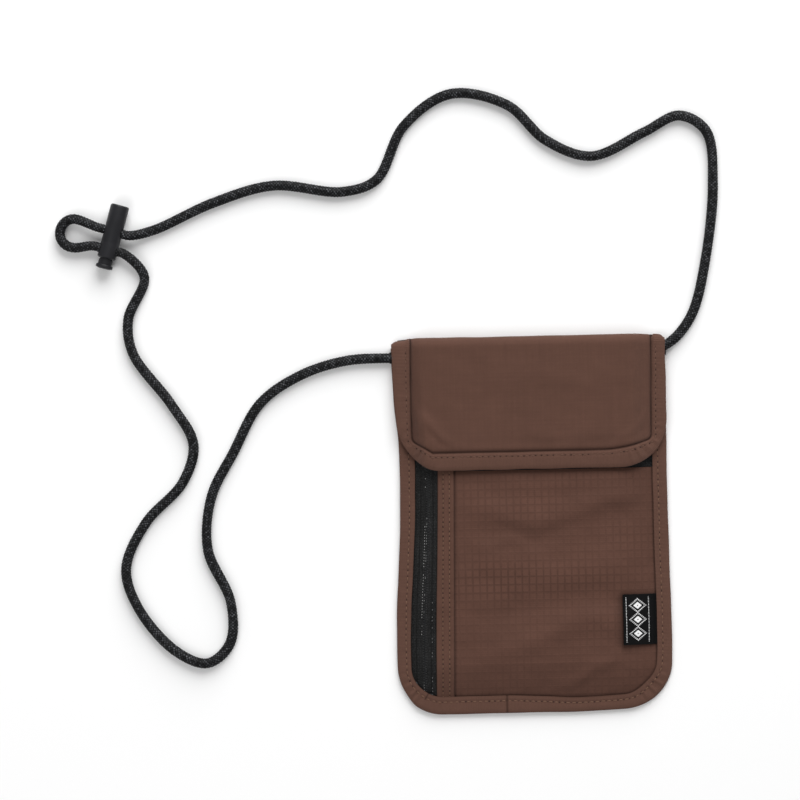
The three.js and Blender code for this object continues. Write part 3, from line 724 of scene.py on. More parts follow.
def add_lock():
    bottom, top, radius = -9.7, 19.3, 4.95
    profile = [
        (0, bottom), (3.95, bottom), (4.35, bottom), (radius, bottom + 0.5), (radius, -1.5),
        (radius - 0.06, -1.2), (radius, -0.9), (radius, top - 1.0), (radius - 0.12, top - 0.5),
        (radius - 0.45, top - 0.12),
        (radius - 0.9, top), (2.2, top), (2.0, top - 0.35), (0, top - 0.35),
    ]
    barrel = lathe("lock_barrel_moulding", profile, LOCK_PLASTIC)
    bore = [(0, bottom - 2), (BORE_RADIUS, bottom - 2), (BORE_RADIUS, BORE_HIGH), (0, BORE_HIGH)]
    boolean_cut(barrel, lathe("cutter", bore, LOCK_PLASTIC))
    for y in (HOLE_OFFSET, -HOLE_OFFSET):
        boolean_cut(barrel, cross_hole(y))
    bevel_edges(barrel, 0.18)
    place_on_lock(barrel)
    declare(barrel, "cord_lock", "lock_plastic", "lock_barrel")

    profile = [
        (0, -15.3), (3.1, -15.3), (3.5, -15.1), (4.2, -15.0), (4.5, -14.7), (4.5, -13.6),
        (4.3, -13.2), (3.7, -13.1), (3.7, 8.2), (3.4, 8.6), (0, 8.6),
    ]
    plunger = lathe("lock_plunger_moulding", profile, LOCK_PLASTIC)
    for y in (HOLE_OFFSET, -HOLE_OFFSET):
        boolean_cut(plunger, cross_hole(y, PLUNGER_TRAVEL))
    place_on_lock(plunger)
    declare(plunger, "lock_plunger", "lock_plastic", "lock_plunger")
    return [barrel, plunger]


def bevel_edges(obj, width):
    modifier = obj.modifiers.new("soft_edges", "BEVEL")
    modifier.width = width * MM
    modifier.segments = 2
    modifier.limit_method = "ANGLE"
    modifier.angle_limit = math.radians(40)
    modifier.harden_normals = False


lock_pieces = add_lock()

# ---------------------------------------------------------------- the pouch's soft shape


def edge_inset(x, y, bottom):
    """How far a point lies inside the rounded outline of the sides and the bottom."""
    across = HALF - np.abs(x)
    up = y - bottom
    in_corner = (across < CORNER) & (up < CORNER)
    round_part = CORNER - np.hypot(CORNER - across, CORNER - up)
    return np.where(in_corner, round_part, np.minimum(across, up))


def rounded_min(a, b, reach):
    """The smaller of two distances, with the corner between them rounded off."""
    share = np.clip(0.5 + (b - a) / (2 * reach), 0, 1)
    return b + (a - b) * share - reach * share * (1 - share)


def flap_seam_inset(x, y):
    """How far a flap point lies inside its binding's seam, which cuts its corners in shallow slants."""
    left = x + HALF - FLAP_TAPE - np.interp(y, SEAM_HEIGHTS, SEAM_LEFT)
    right = HALF - FLAP_TAPE + np.interp(y, SEAM_HEIGHTS, SEAM_RIGHT) - x
    lift = 6.2 * np.clip(1 - left / 12.5, 0, 1) + 5.2 * np.clip(1 - right / 26, 0, 1) ** 1.7
    up = y - FLAP_BOTTOM - FLAP_TAPE - 0.9 - lift
    return rounded_min(rounded_min(left, right, 1.0), up, 2.4)


def body_seam_inset(x, y):
    """How far a front point lies inside the body binding's seam, wider at both bottom corners."""
    bottom_left = 1.8 * smooth((BOTTOM + 26 - y) / 18) * smooth((26 - x) / 40)
    right_corner = 1.9 * bell(x - 61, 9, y + 88, 9)
    return edge_inset(x, y, BOTTOM) - BODY_TAPE - bottom_left - right_corner


def fold_height(x, y, folds):
    """The sum of soft folds, each of them fading out at both ends of its crest."""
    height = 0.0 * x
    for crest, crest_height, above, below in folds:
        along, line = zip(*crest)
        span = along[-1] - along[0]
        fade = smooth((x - along[0]) / (0.25 * span)) * smooth((along[-1] - x) / (0.2 * span))
        away = y - np.interp(x, along, line)
        height = height + crest_height * fade * bell(away, np.where(away > 0, above, below))
    return height


FRONT_FOLD_SCALE = 1.8
FLAP_FOLD_SCALE = 1.4
# folds: the crest's line from left to right, its height, and its reach above and below
FRONT_FOLDS = [
    ([(-48, 12), (-38, 10), (-13, 3), (4, 0), (22, 4), (40, 12), (68, 18)], 0.9, 11, 9),
    ([(-46, -26), (-26, -19), (-6, -22), (14, -26), (30, -26), (60, -20)], 0.8, 12, 9),
    ([(-34, -72), (-11, -66), (4, -61), (19, -53), (34, -51), (56, -54)], 0.6, 6, 8),
    ([(-30, 25), (0, 21), (30, 23), (66, 27)], 0.3, 5, 5),
    ([(4, -92), (19, -87), (31, -77), (48, -70)], 0.45, 5, 4),
    ([(-38, -10), (-24, -12), (-12, -8), (0, -11)], 0.25, 3.5, 3.5),
    ([(-39, 5), (-17, -1), (3, -7), (24, 1), (40, 6), (66, 7)], -0.45, 5, 6),
    ([(-48, -50), (-18, -49), (0, -44), (23, -39), (44, -40), (62, -44)], -0.5, 8, 6),
]
FLAP_FOLDS = [
    ([(-62, 60), (-56, 56), (-46, 46), (-38, 40), (-30, 38)], 0.5, 4, 3.5),
    ([(-60, 46), (-52, 43), (-44, 37), (-36, 35)], 0.35, 3, 3),
    ([(-34, 80), (-14, 77), (8, 79), (30, 75), (58, 78)], 0.35, 8, 7),
    ([(-8, 50), (10, 46), (28, 45), (50, 49)], 0.3, 7, 6),
    ([(44, 42), (52, 46), (60, 54), (64, 62)], 0.35, 4, 4),
]


def front_top(x, y):
    """Height of the front fabric's upper face."""
    inset = body_seam_inset(x, y)
    share = np.clip(inset / (SLOPE_END - BODY_TAPE), 0, 1)
    rise = share + 0.1 * np.sin(math.pi * share)
    z = FRONT_EDGE_TOP + (SKIN_Z - 0.25 - FRONT_EDGE_TOP) * rise
    ripples = 0.15 * noise(x * 0.6, y, 26, 11) + 0.1 * noise(x * 0.6, y, 11, 13) + 0.03 * noise(x, y, 5, 12)
    z = z + (FRONT_FOLD_SCALE * fold_height(x, y, FRONT_FOLDS) + ripples) * smooth(inset / 10)
    # the puckers that the binding's stitches pull into the cloth beside them
    puckers = 0.13 * bell(inset - 1.5, 2.6) * noise(x * 1.7, y * 1.7, 13, 14)
    return z + puckers - 0.25 * bell(inset, 1.3)


def flap_top(x, y):
    """Height of the flap's outer face."""
    across = HALF - np.abs(x)
    share = smooth((across - FLAP_TAPE + 1.2) / np.where(x < 0, 9.0, 13.0))
    z = FLAP_EDGE_TOP + (FLAP_TOP_Z - FLAP_EDGE_TOP) * (0.75 * share + 0.25 * np.sqrt(share))
    z = z - 0.8 * share * (1 - smooth((y - FLAP_BOTTOM) / 18))
    z = z + 0.9 * bell(x - 62, 16, y - FLAP_BOTTOM - 4, 14)
    over_pull = 1.5 * bell(x - pull_low[0] + 1, 4.5, y - pull_low[1] - 2, 8)
    z = z + over_pull * smooth((across - FLAP_TAPE) / 3)
    ripples = 0.16 * noise(x, y * 0.4, 26, 21) + 0.08 * noise(x, y, 11, 23) + 0.03 * noise(x, y, 5, 22)
    folds = FLAP_FOLD_SCALE * fold_height(x, y, FLAP_FOLDS)
    return z + (folds + ripples) * smooth(flap_seam_inset(x, y) / 8)


def side_lean(y, table):
    return np.interp(y, *zip(*table))


def smooth_table(table):
    """The table's line rounded off, as evenly spaced points."""
    heights = np.linspace(table[0][0], table[-1][0], 120)
    values = side_lean(heights, table)
    window = np.hanning(19)
    padded = np.pad(values, 9, mode="edge")
    return list(zip(heights, np.convolve(padded, window / window.sum(), mode="valid")))


# how far the left side leans to the right, at each height
BODY_LEAN = smooth_table([
    (-100, 0.8), (-66, 0.0), (-43, 0.4), (-19, 2.0), (5, 3.1), (28, 3.4), (44, 3.2), (62, 1.0), (90, 0),
])
FLAP_LEAN = smooth_table([(28, 3.3), (44, 3.2), (64, 1.6), (84, 0.7), (94, 0.2), (100, 0.2)])
# how far the side zip leans, from one height to another
ZIP_TILT_HEIGHTS = (-95.0, 30.0)
ZIP_TILT = (-1.4, 0.9)


def settle(points, table=BODY_LEAN):
    """Moves points sideways as the soft pouch's left side does, and up and out at its lower right corner."""
    out = np.array(points, float)
    x, y = out[..., 0].copy(), out[..., 1].copy()
    out[..., 0] += side_lean(y, table) * (1 - smooth((x + 68) / 26))
    if table is BODY_LEAN:
        beside_zip = smooth((x + 70) / 9) * smooth((-27 - x) / 10) * smooth((62 - y) / 25)
        out[..., 0] += np.interp(y, ZIP_TILT_HEIGHTS, ZIP_TILT) * beside_zip
    out[..., 0] += 0.7 * smooth((x - 40) / 30) * bell(y + 52, 26)
    out[..., 1] += 1.2 * smooth((x - 18) / 40) * smooth((-y - 70) / 22)
    return out


def side_limit(y, inset, bottom):
    """Half the width of the outline at height y, at an inset from the edge."""
    radius = CORNER - inset
    up = y - (bottom + inset)
    drop = np.clip(radius - up, 0, radius)
    return HALF - inset - radius + np.sqrt(np.maximum(radius**2 - drop**2, 0))


def over_edge(points, turn, top, under):
    """Points of the flap's top row, carried round the pouch's top edge by an angle."""
    centre = (top + under) / 2
    share = (points[:, 2] - centre) / ((top - under) / 2)
    across = HALF - np.abs(points[:, 0])
    reach = 5.2 - 0.9 * (1 - smooth(across / 16))
    reach = reach - 1.2 * bell(across, 1.6) + 0.12 * noise(points[:, 0], 0, 30, 61)
    y = points[:, 1] + reach * share * math.sin(turn)
    return np.stack([points[:, 0], y, centre + (points[:, 2] - centre) * math.cos(turn)], -1)


def follow_both(obj):
    """Bakes the piece's place into its mesh."""
    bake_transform(obj)


def panel(name, slot, nodes, x_range, y_range, height, step, thickness=0.45, flap=False,
          dark=None, net=None, turned=False):
    """A cloth panel between two x limits and two y limits, cut to the outline under its binding.

    A turned panel goes on over the pouch's top edge, down to the back.
    """
    inset, bottom, table = (3.5, FLAP_BOTTOM, FLAP_LEAN) if flap else (4.0, BOTTOM, BODY_LEAN)
    rows = np.arange(0, 1.0001, step / (y_range[1] - y_range[0]))
    columns = np.arange(0, 1.0001, step / (x_range[1] - x_range[0]))
    y = y_range[0] + rows * (y_range[1] - y_range[0])
    limit = side_limit(y, inset, bottom)
    left = np.minimum(np.maximum(x_range[0], -limit), x_range[1] - 0.6)
    right = np.minimum(x_range[1], limit)
    x = left[:, None] + (right - left)[:, None] * columns[None, :]
    y = np.repeat(y[:, None], len(columns), 1)
    grid = np.stack([x, y, height(x, y)], -1)
    shades = dark(x, y) if dark else None
    if turned:
        last = grid[-1]
        under = 0.05 + 0.5 * (1 - smooth((HALF - np.abs(last[:, 0]) - 8) / 5))
        turns = np.linspace(0, math.pi, 30)[1:]
        grid = np.concatenate([grid] + [over_edge(last, turn, last[:, 2], under)[None] for turn in turns])
        shades = np.concatenate([shades] + [shades[-1:]] * len(turns))
    obj = shell_from_grid(name, settle(grid, table), thickness, PANEL_CLOTHS[slot], shades)
    if net:
        float_attribute(obj.data, "net", np.tile(net(x, y).ravel(), 2))
    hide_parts(*nodes)
    if turned:
        follow_both(obj)
    else:
        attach(obj, "flap" if flap else "pouch")


# ---------------------------------------------------------------- front panels

PANEL_LEFT = facing_high[0] - 1.0
ZIP_GAP = 0.3
FRONT_Y = (BOTTOM + 4, MOUTH_Y)
BACK_Y = (BOTTOM + 4, FOLD_Y)
WHOLE_X = (-HALF, HALF)
RIGHT_X = (PANEL_LEFT, HALF)
FACING_STITCHES = (facing_low[0] + 3.4, facing_low[0] + 7.0)
# where light catches the ripstop's net, painted in as darker lines and brighter cells: the patch's middle,
# its reaches sideways and upwards, and its strength
LIT_NET_PATCHES = [
    (6, -29, 38, 8, 0.9), (-20, -31, 16, 14, 0.45), (-1, 11, 15, 9, 0.6), (-28, 15, 10, 9, 0.35),
    (38, -54, 13, 7, 0.4), (50, -8, 14, 9, 0.3), (20, 24, 30, 4, 0.3),
]
ZIP_GROOVES = (SIDE_ZIP_X + 3.3, SIDE_ZIP_X - 4.6)


def ripstop_height(x, y):
    seam = 0.35 * bell(x - facing_high[0] - 0.2, 0.9)
    return front_top(x, y) - seam - 0.4 * bell(y - skin_high[1], 1.2)

def ripstop_lit_net(x, y):
    """How strongly the net is painted as lit, with darker lines and brighter cells: in patches where light
    catches it.
    """
    lit_share = 0.1 + 0.1 * noise(x * 0.6, y, 20, 35)
    for centre_x, centre_y, wide, tall, strength in LIT_NET_PATCHES:
        lit_share = lit_share + strength * bell(x - centre_x, wide, y - centre_y, tall)
    return np.clip(lit_share, 0.03, 1)


def ripstop_dark(x, y):
    """Painted shade in the creases of the seams, and a painted shadow beside the label's lifted fold."""
    seams = 0.8 * bell(x - facing_high[0] - 0.1, 0.5) + 0.55 * bell(body_seam_inset(x, y), 0.7)
    beside = np.maximum(label_low[0] - 0.3 - x, 0) + np.maximum(np.abs(y - LABEL_MIDDLE_Y) - 12.5, 0)
    return np.clip(seams + 0.42 * bell(beside, 2.6), 0, 1)


def facing_height(x, y):
    lift = 0.42 * smooth((facing_high[0] - x) / 0.7) * smooth((x - facing_low[0]) / 0.5 + 0.35)
    rows = sum(0.2 * bell(x - row, 0.6) for row in FACING_STITCHES)
    return front_top(x, y) + 0.08 + lift - rows + 0.05 * noise(x * 2, y * 2, 11, 32)


# painted shade along the facing's two edges, in the creases where it meets the tape and the ripstop
def facing_dark(x, y):
    return np.clip(0.8 * bell(x - facing_high[0], 0.35) + 0.4 * bell(x - facing_low[0], 0.25), 0, 1)


def zip_tape_height(x, y):
    middle = 0.3 * bell(x - SIDE_ZIP_X, 1.7)
    groove = sum(0.25 * bell(x - line, 0.5) for line in ZIP_GROOVES)
    under_slider = 0.35 * smooth((45 - y) / 30) * bell(x - SIDE_ZIP_X, 4)
    return front_top(x, y) - 0.2 - under_slider + middle - groove + 0.09 * noise(x * 0.7, y, 15, 31)


# painted shade in the tape's grooves and along its seam with the facing
def zip_tape_dark(x, y):
    grooves = sum(0.6 * bell(x - line, 0.4) for line in ZIP_GROOVES)
    return np.clip(grooves + 0.6 * bell(x - facing_low[0], 0.5), 0, 1)


def top_zip_height(x, y):
    return front_top(x, y) - 0.35 + 0.3 * bell(y - TOP_ZIP_Y, 1.6)


def upper_height(x, y):
    return front_top(x, y) - 0.3 * bell(y - upper_low[1], 1.0)


def divider_height(x, y):
    return 1.75 + 3.6 * np.clip((edge_inset(x, y, BOTTOM) - 12) / 16, 0, 1)


def back_inside_height(x, y):
    return 1.48 - 0.52 * smooth((edge_inset(x, y, BOTTOM) - 8) / 5)


def foil_height(x, y):
    return back_inside_height(x, y) - 0.24 + 0.02 * noise(x, y, 6, 33)


def back_outer_height(x, y):
    return 0.5 + 0.5 * (1 - smooth((edge_inset(x, y, BOTTOM) - 8) / 5))


def add_front():
    panel("ripstop_front", "ripstop_fabric", ["front_pocket_panel"], RIGHT_X, (FRONT_Y[0], skin_high[1]),
          ripstop_height, 0.8, dark=ripstop_dark, net=ripstop_lit_net)
    panel("facing_strip", "plain_weave", ["zip_facing"], (facing_low[0], facing_high[0]), FRONT_Y,
          facing_height, 0.4, dark=facing_dark)
    panel("side_tape_left", "zip_tape", ["side_zip_tape_left"], (-HALF, SIDE_ZIP_X - ZIP_GAP), FRONT_Y,
          zip_tape_height, 0.5, dark=zip_tape_dark)
    panel("side_tape_right", "zip_tape", ["side_zip_tape_right"],
          (SIDE_ZIP_X + ZIP_GAP, facing_low[0] + 0.6), FRONT_Y, zip_tape_height, 0.4, dark=zip_tape_dark)
    panel("top_tape_lower", "zip_tape", ["top_zip_tape_lower"], RIGHT_X,
          (top_tape_low[1] - 0.2, TOP_ZIP_Y - ZIP_GAP), top_zip_height, 0.8)
    panel("top_tape_upper", "zip_tape", ["top_zip_tape_upper"], RIGHT_X,
          (TOP_ZIP_Y + ZIP_GAP, top_upper_high[1] + 0.3), top_zip_height, 0.8)
    panel("upper_front", "plain_weave", ["upper_front_panel"], RIGHT_X, (upper_low[1], MOUTH_Y),
          upper_height, 1.5)
    panel("divider_cloth", "grey_lining", ["divider_panel"], WHOLE_X, FRONT_Y, divider_height, 3.0, 0.3)
    panel("back_lining_cloth", "grey_lining", ["back_lining"], WHOLE_X, BACK_Y, back_inside_height, 3.0, 0.2)
    panel("shield_sheet", "shield_foil", ["shielding_liner"], WHOLE_X, FRONT_Y, foil_height, 2.0, 0.1)
    panel("back_cloth", "plain_weave", ["back_panel"], WHOLE_X, BACK_Y, back_outer_height, 2.5)


add_front()

# ---------------------------------------------------------------- bindings
# how far out each point of a tape's upper leg lies, as a share of its width
TOP_LEG_SHARES = (1.0, 0.965, 0.92, 0.86, 0.79, 0.73, 0.68, 0.62, 0.54, 0.44, 0.34, 0.24, 0.15, 0.08, 0.035)
INSIDE_V = -20.0


def u_line(top, bottom, step):
    """Points down the left side, round the bottom and up the right side, with inward normals and lengths."""
    side = top - (bottom + CORNER)
    arc = CORNER * math.pi / 2
    base = 2 * (HALF - CORNER)
    total = 2 * side + 2 * arc + base
    at = np.linspace(0, total, int(total / step) + 1)
    points, normals, bend = [], [], []
    for s in at:
        mirrored = s > total / 2
        t = total - s if mirrored else s
        if t < side:
            p, n, c = (-HALF, top - t), (1.0, 0.0), 0.0
        elif t < side + arc:
            turn = (t - side) / CORNER
            n = (math.cos(turn), math.sin(turn))
            p = (-HALF + CORNER - CORNER * n[0], bottom + CORNER - CORNER * n[1])
            c = math.sin(math.pi * (t - side) / arc)
        else:
            p, n, c = (-HALF + CORNER + t - side - arc, bottom), (0.0, 1.0), 0.0
        flip = -1 if mirrored else 1
        points.append((flip * p[0], p[1]))
        normals.append((flip * n[0], n[1]))
        bend.append(c)
    return np.array(points), np.array(normals), at, np.array(bend)


def seam_width(points, normals, seam_inset):
    """The tape's width at each station: out to the seam, by halving steps."""
    low, high = np.zeros(len(points)), np.full(len(points), 14.0)
    for _ in range(30):
        middle = (low + high) / 2
        inside = seam_inset(*(points + normals * middle[:, None]).T) > 0
        high = np.where(inside, middle, high)
        low = np.where(inside, low, middle)
    return low


def binding(name, top, bottom, tape, upper, lower, table, crease, seam_inset, seed, laps=(), turned=False):
    """A tape folded over the edge. upper and lower give the heights of its two legs at x, y and an inset d.

    Each lap is a point where the tape's end, or a pleat of it, lies over the tape, and how far in it starts.
    """
    points, normals, at, bend = u_line(top, bottom, 0.9)
    width = seam_width(points, normals, seam_inset) + 0.1 * noise(at, 0 * at, 19, seed + 2)
    # lap_dark is painted shade: a dark line along the edge of each lapped end or pleat
    lap_lift, lap_dark = np.zeros_like(at), []
    for x, y, start in laps:
        past = at - at[np.argmin(np.hypot(points[:, 0] - x, points[:, 1] - y))]
        lap_lift += 0.2 * smooth(past / 0.9 + 0.5) * np.exp(-np.maximum(past, 0) / 7)
        lap_dark.append((start, 0.62 * bell(past, 0.55)))
    seam = width - STITCH_IN[name]
    drift = 3 * noise(at, 0 * at, 40, seed)
    rows, u_rows, darks = [], [], []

    def add(d, z, v, shade_here=None):
        x = points[:, 0] + normals[:, 0] * d
        y = points[:, 1] + normals[:, 1] * d
        rows.append(np.stack([x, y, z(x, y, d)], 1))
        u_rows.append(np.stack([at, np.full_like(at, v)], 1))
        darks.append(np.zeros_like(at) if shade_here is None else shade_here)

    def top_leg(x, y, d):
        ripples = np.sin(2 * math.pi * at / 5.2 + drift) + 0.6 * np.sin(2 * math.pi * at / 3.1 - 2 * drift)
        ripples = ripples * (0.045 + 0.2 * bend) * smooth(d / 3) * (1 - 0.8 * smooth((d - seam) / 1.5))
        pulled_in = smooth((top - y) / 4) * (ripples - 0.22 * bell(d - seam, 0.8))
        inner = smooth((d - seam) / 2.0)
        shape = 0.15 * inner * (1 - inner) - crease * inner**3
        return upper(x, y, d) + pulled_in + lap_lift + shape

    # painted shade in the crease at the tape's inner edge, deeper on the flap, with the laps' painted shade
    # added
    reach, depth = (0.45, 0.8) if crease > 0.3 else (0.2, 0.4)
    for share in TOP_LEG_SHARES:
        shades = depth * bell((share - 1) * width, reach)
        shades = shades + sum(dark for start, dark in lap_dark if share >= start)
        add(share * width, top_leg, share * tape, np.clip(shades, 0, 1))
    wobble = 0.15 * noise(at, 0 * at, 23, seed + 1)
    high = upper(points[:, 0], points[:, 1], np.ones_like(at))
    low = lower(points[:, 0], points[:, 1], np.ones_like(at))
    for share in (0.7, 0.5, 0.3):
        add(wobble, lambda x, y, d, part=share: low + (high - low) * part, share - 1.0)
    under = np.minimum(tape - 0.3, width - 0.2)
    for share in (0.04, 0.15, 0.5, 0.95, 1.0):
        add(share * under, lower, -2.0 - share * tape)
    # the inside faces, one tape's thickness in
    for share in (1.0, 0.5, 0.12):
        add(share * under, lambda x, y, d: lower(x, y, d) + 0.42, INSIDE_V)
    for share in (0.12, 0.5, 0.98):
        add(share * width, lambda x, y, d: top_leg(x, y, d) - 0.5, INSIDE_V)
    rings, uv, dark = np.stack(rows, 1), np.stack(u_rows, 1), np.stack(darks, 1)
    if turned:
        rings, uv, dark = turned_ends(rings, uv, dark)
    obj = sweep(name, settle(rings, table)[:, ::-1], TAPE_CLOTH, uv[:, ::-1], dark[:, ::-1])
    return obj, (points, normals, at, width)


def turned_ends(rings, uv, dark):
    """Carries both ends of the flap's tape over the pouch's top edge."""
    turns = np.linspace(0, math.pi, 26)[1:]
    steps = 0.35 * np.arange(1, len(turns) + 1)[:, None]
    out = []
    for k in (0, -1):
        end = rings[k]
        top = np.full(len(end), end[:, 2].max())
        turned = np.stack([over_edge(end, turn, top, np.full(len(end), 0.03)) for turn in turns])
        along = np.repeat(uv[k][None], len(turns), 0)
        along[..., 0] += steps if k else -steps
        out.append((turned, along, np.repeat(dark[k][None], len(turns), 0)))
    (first, first_uv, first_dark), (last, last_uv, last_dark) = out
    return (
        np.concatenate([first[::-1], rings, last]),
        np.concatenate([first_uv[::-1], uv, last_uv]),
        np.concatenate([first_dark[::-1], dark, last_dark]),
    )


BODY_LAPS = [(-14.5, BOTTOM, 0.0), (-60.5, BOTTOM + 3.5, 0.6)]
STITCH_IN = {"body_binding_tape": 2.9, "flap_binding_tape": 2.4}


def body_upper(x, y, d):
    return EDGE_Z - 0.05 - 0.5 * bell(d, 1.1) + 0.35 * smooth((d - 4) / 5)


def body_lower(x, y, d):
    return 0.02 + 0.3 * bell(d, 1.0)


def flap_upper(x, y, d):
    return flap_top(x, y) + 0.42 - 0.5 * bell(d, 1.2)


def flap_lower(x, y, d):
    return flap_top(x, y) - 1.3 + 0.3 * bell(d, 1.1)


def add_bindings():
    body, body_line = binding("body_binding_tape", FOLD_Y - 0.3, BOTTOM, BODY_TAPE, body_upper, body_lower,
                              BODY_LEAN, 0.12, body_seam_inset, 41, BODY_LAPS)
    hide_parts("body_binding")
    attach(body, "pouch")
    flap, flap_line = binding("flap_binding_tape", FOLD_Y, FLAP_BOTTOM, FLAP_TAPE, flap_upper, flap_lower,
                              FLAP_LEAN, 0.85, flap_seam_inset, 51, turned=True)
    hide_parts("flap_binding", "fold_binding_left", "fold_binding_right")
    follow_both(flap)
    return body_line, flap_line


body_line, flap_line = add_bindings()

# ---------------------------------------------------------------- flap


def flap_panel_height(x, y):
    inset = flap_seam_inset(x, y)
    return flap_top(x, y) + 0.25 * bell(inset - 2.2, 1.8) - 0.85 * (1 - smooth((inset + 0.4) / 1.6))


# painted shade in the crease along the flap's binding seam
def flap_dark(x, y):
    return 0.85 * bell(np.maximum(flap_seam_inset(x, y), 0), 0.5)


def flap_lining_height(x, y):
    return flap_panel_height(x, y) - 0.62


def add_flap():
    panel("flap_cloth", "plain_weave", ["flap_outer_panel", "flap_fold"], WHOLE_X,
          (FLAP_BOTTOM + 3.5, FOLD_Y), flap_panel_height, 0.8, flap=True, dark=flap_dark, turned=True)
    panel("flap_lining_cloth", "grey_lining", ["flap_lining"], WHOLE_X,
          (FLAP_BOTTOM + 3.5, FOLD_Y - 0.1), flap_lining_height, 1.6, 0.25, flap=True)


add_flap()

# ---------------------------------------------------------------- stitches


def stitch_mesh(centre, along, up, length, radius):
    """One stitch: a short bead of thread that dives into the cloth at both ends."""
    side = np.cross(up, along)
    verts, faces = [], []
    sides, stations = 6, (-1.0, -0.8, -0.4, 0.0, 0.4, 0.8, 1.0)
    for s in stations:
        size = radius * (0.35 + 0.65 * math.sqrt(max(0.0, 1 - s * s * 0.9)))
        sink = -radius * 1.3 * s * s
        for i in range(sides):
            turn = 2 * math.pi * i / sides
            offset = side * math.cos(turn) * size + up * (math.sin(turn) * size + sink)
            verts.append(centre + along * (s * length / 2) + offset)
    for k in range(len(stations) - 1):
        for i in range(sides):
            j = (i + 1) % sides
            faces.append([k * sides + i, k * sides + j, (k + 1) * sides + j, (k + 1) * sides + i])
    faces.append(list(reversed(range(sides))))
    last = (len(stations) - 1) * sides
    faces.append([last + i for i in range(sides)])
    return verts, faces


def stitch_row(name, line, material, slot, body, pitch=3.1, length=2.1, radius=0.27, lift=0.14,
               holes=True, keep=None):
    """Stitches along a line of points in mm, lying on the cloth, with dark beads between them as painted
    shade in the needle holes.

    keep gives the chance that a stitch at x, y shows.
    """
    lengths = distances(line)

    def point(s):
        return np.array([np.interp(s, lengths, line[:, k]) for k in range(3)])

    parts, pits = [], []
    for s in np.arange(pitch / 2, lengths[-1] - pitch / 2, pitch):
        along = point(s + 0.4) - point(s - 0.4)
        along /= np.linalg.norm(along)
        side = np.cross(UP, along)
        side /= np.linalg.norm(side)
        up = np.cross(along, side)
        centre = point(s) + up * (lift + rng.uniform(-0.03, 0.03)) + side * rng.uniform(-0.06, 0.06)
        if keep is None or rng.uniform() < keep(*centre[:2]):
            parts.append(stitch_mesh(centre, along, up, length * rng.uniform(0.94, 1.04), radius))
        # the pits are dark beads that stand for the shade in the needle holes
        if rng.uniform() < 0.9:
            pit = centre + along * pitch / 2 - up * (lift - 0.02)
            pits.append(stitch_mesh(pit, along, up, rng.uniform(0.9, 1.5), rng.uniform(0.3, 0.42)))
    made = [join_meshes(name, parts, material)]
    if holes:
        made.append(join_meshes(f"{name}_holes", pits, NEEDLE_HOLE_SHADE))
    for obj in made:
        declare(obj, body, slot)


def binding_stitch_line(line, inward, height, table, sink):
    points, normals, _, width = line
    d = width - inward
    x = points[:, 0] + normals[:, 0] * d
    y = points[:, 1] + normals[:, 1] * d
    return settle(np.stack([x, y, height(x, y, d) - sink], 1), table)


def straight_line(x, y_high, height):
    y = np.arange(BOTTOM + BODY_TAPE, y_high, 1.0)
    x = np.full_like(y, x)
    return settle(np.stack([x, y, height(x, y)], 1))


def add_stitches():
    body_row = binding_stitch_line(body_line, STITCH_IN["body_binding_tape"], body_upper, BODY_LEAN, 0.28)
    stitch_row("body_binding_stitches", body_row, BROWN_THREAD, "binding_tape", "pouch")
    flap_row = binding_stitch_line(flap_line, STITCH_IN["flap_binding_tape"], flap_upper, FLAP_LEAN, 0.28)
    stitch_row("flap_binding_stitches", flap_row, FLAP_THREAD, "binding_tape", "flap", radius=0.24, lift=0.08)
    for k, x in enumerate(FACING_STITCHES):
        line = straight_line(x, MOUTH_Y - 1, facing_height)
        stitch_row(f"facing_stitches_{k}", line, BROWN_THREAD, "binding_tape", "pouch",
                   pitch=2.5, length=1.8, radius=0.22)


add_stitches()

# ---------------------------------------------------------------- zips


def coil_teeth(name, nodes, axis, start, end, height, pitch=1.3):
    """The coil's turns, seen as two rows of small beads that meet on the zip's centre line."""
    parts = []
    for k, s in enumerate(np.arange(start, end, pitch / 2)):
        side = -0.42 if k % 2 else 0.42
        x, y = (SIDE_ZIP_X + side, s) if axis == "y" else (s, TOP_ZIP_Y + side)
        here = settle(np.array([x, y, 0.0]))
        here[2] = height(np.array(x), np.array(y)) + 0.05
        parts.append(stitch_mesh(here, ALONG_X if axis == "y" else ALONG_Y, UP, 1.35, 0.27))
    declare(join_meshes(name, parts, COIL_NYLON), "pouch", "zip_coil", *nodes)


def glint(x, y):
    """The chance that a painted glint shows on the zip: its highlights come in stretches."""
    return float(smooth(0.5 + 0.9 * noise(np.array(x) * 3, np.array(y), 30, 81))) * (0.25 + 0.75 * (y < 0))


def add_zips():
    coil_teeth("side_coil", ["side_zip_coil_left", "side_zip_coil_right"], "y", BOTTOM + BODY_TAPE,
               coil_high[1] - 0.5, zip_tape_height)
    coil_teeth("top_coil", ["top_zip_coil_lower", "top_zip_coil_upper"], "x", top_coil_low[0] + 0.5,
               HALF - BODY_TAPE, top_zip_height)
    # painted highlights: pale and grey beads, laid as stitch rows, where the coil's loops and the tape catch
    # the light
    for k, offset in enumerate((-1.7, -0.6)):
        line = straight_line(SIDE_ZIP_X + offset, MOUTH_Y - 2, zip_tape_height)
        stitch_row(f"side_coil_stitches_{k}", line, PAINTED_COIL_GLINT, "zip_tape", "pouch", pitch=1.5, length=0.6,
                   radius=0.15, lift=0.05, holes=False, keep=glint)
    line = straight_line(facing_low[0] - 2.3, MOUTH_Y - 2, zip_tape_height)
    stitch_row("side_tape_glints", line, PAINTED_TAPE_GLINT, "zip_tape", "pouch", pitch=1.9, length=0.8,
               radius=0.16, holes=False, keep=lambda x, y: 0.35 * glint(x, y))


add_zips()

# ---------------------------------------------------------------- label, patches and cord ends


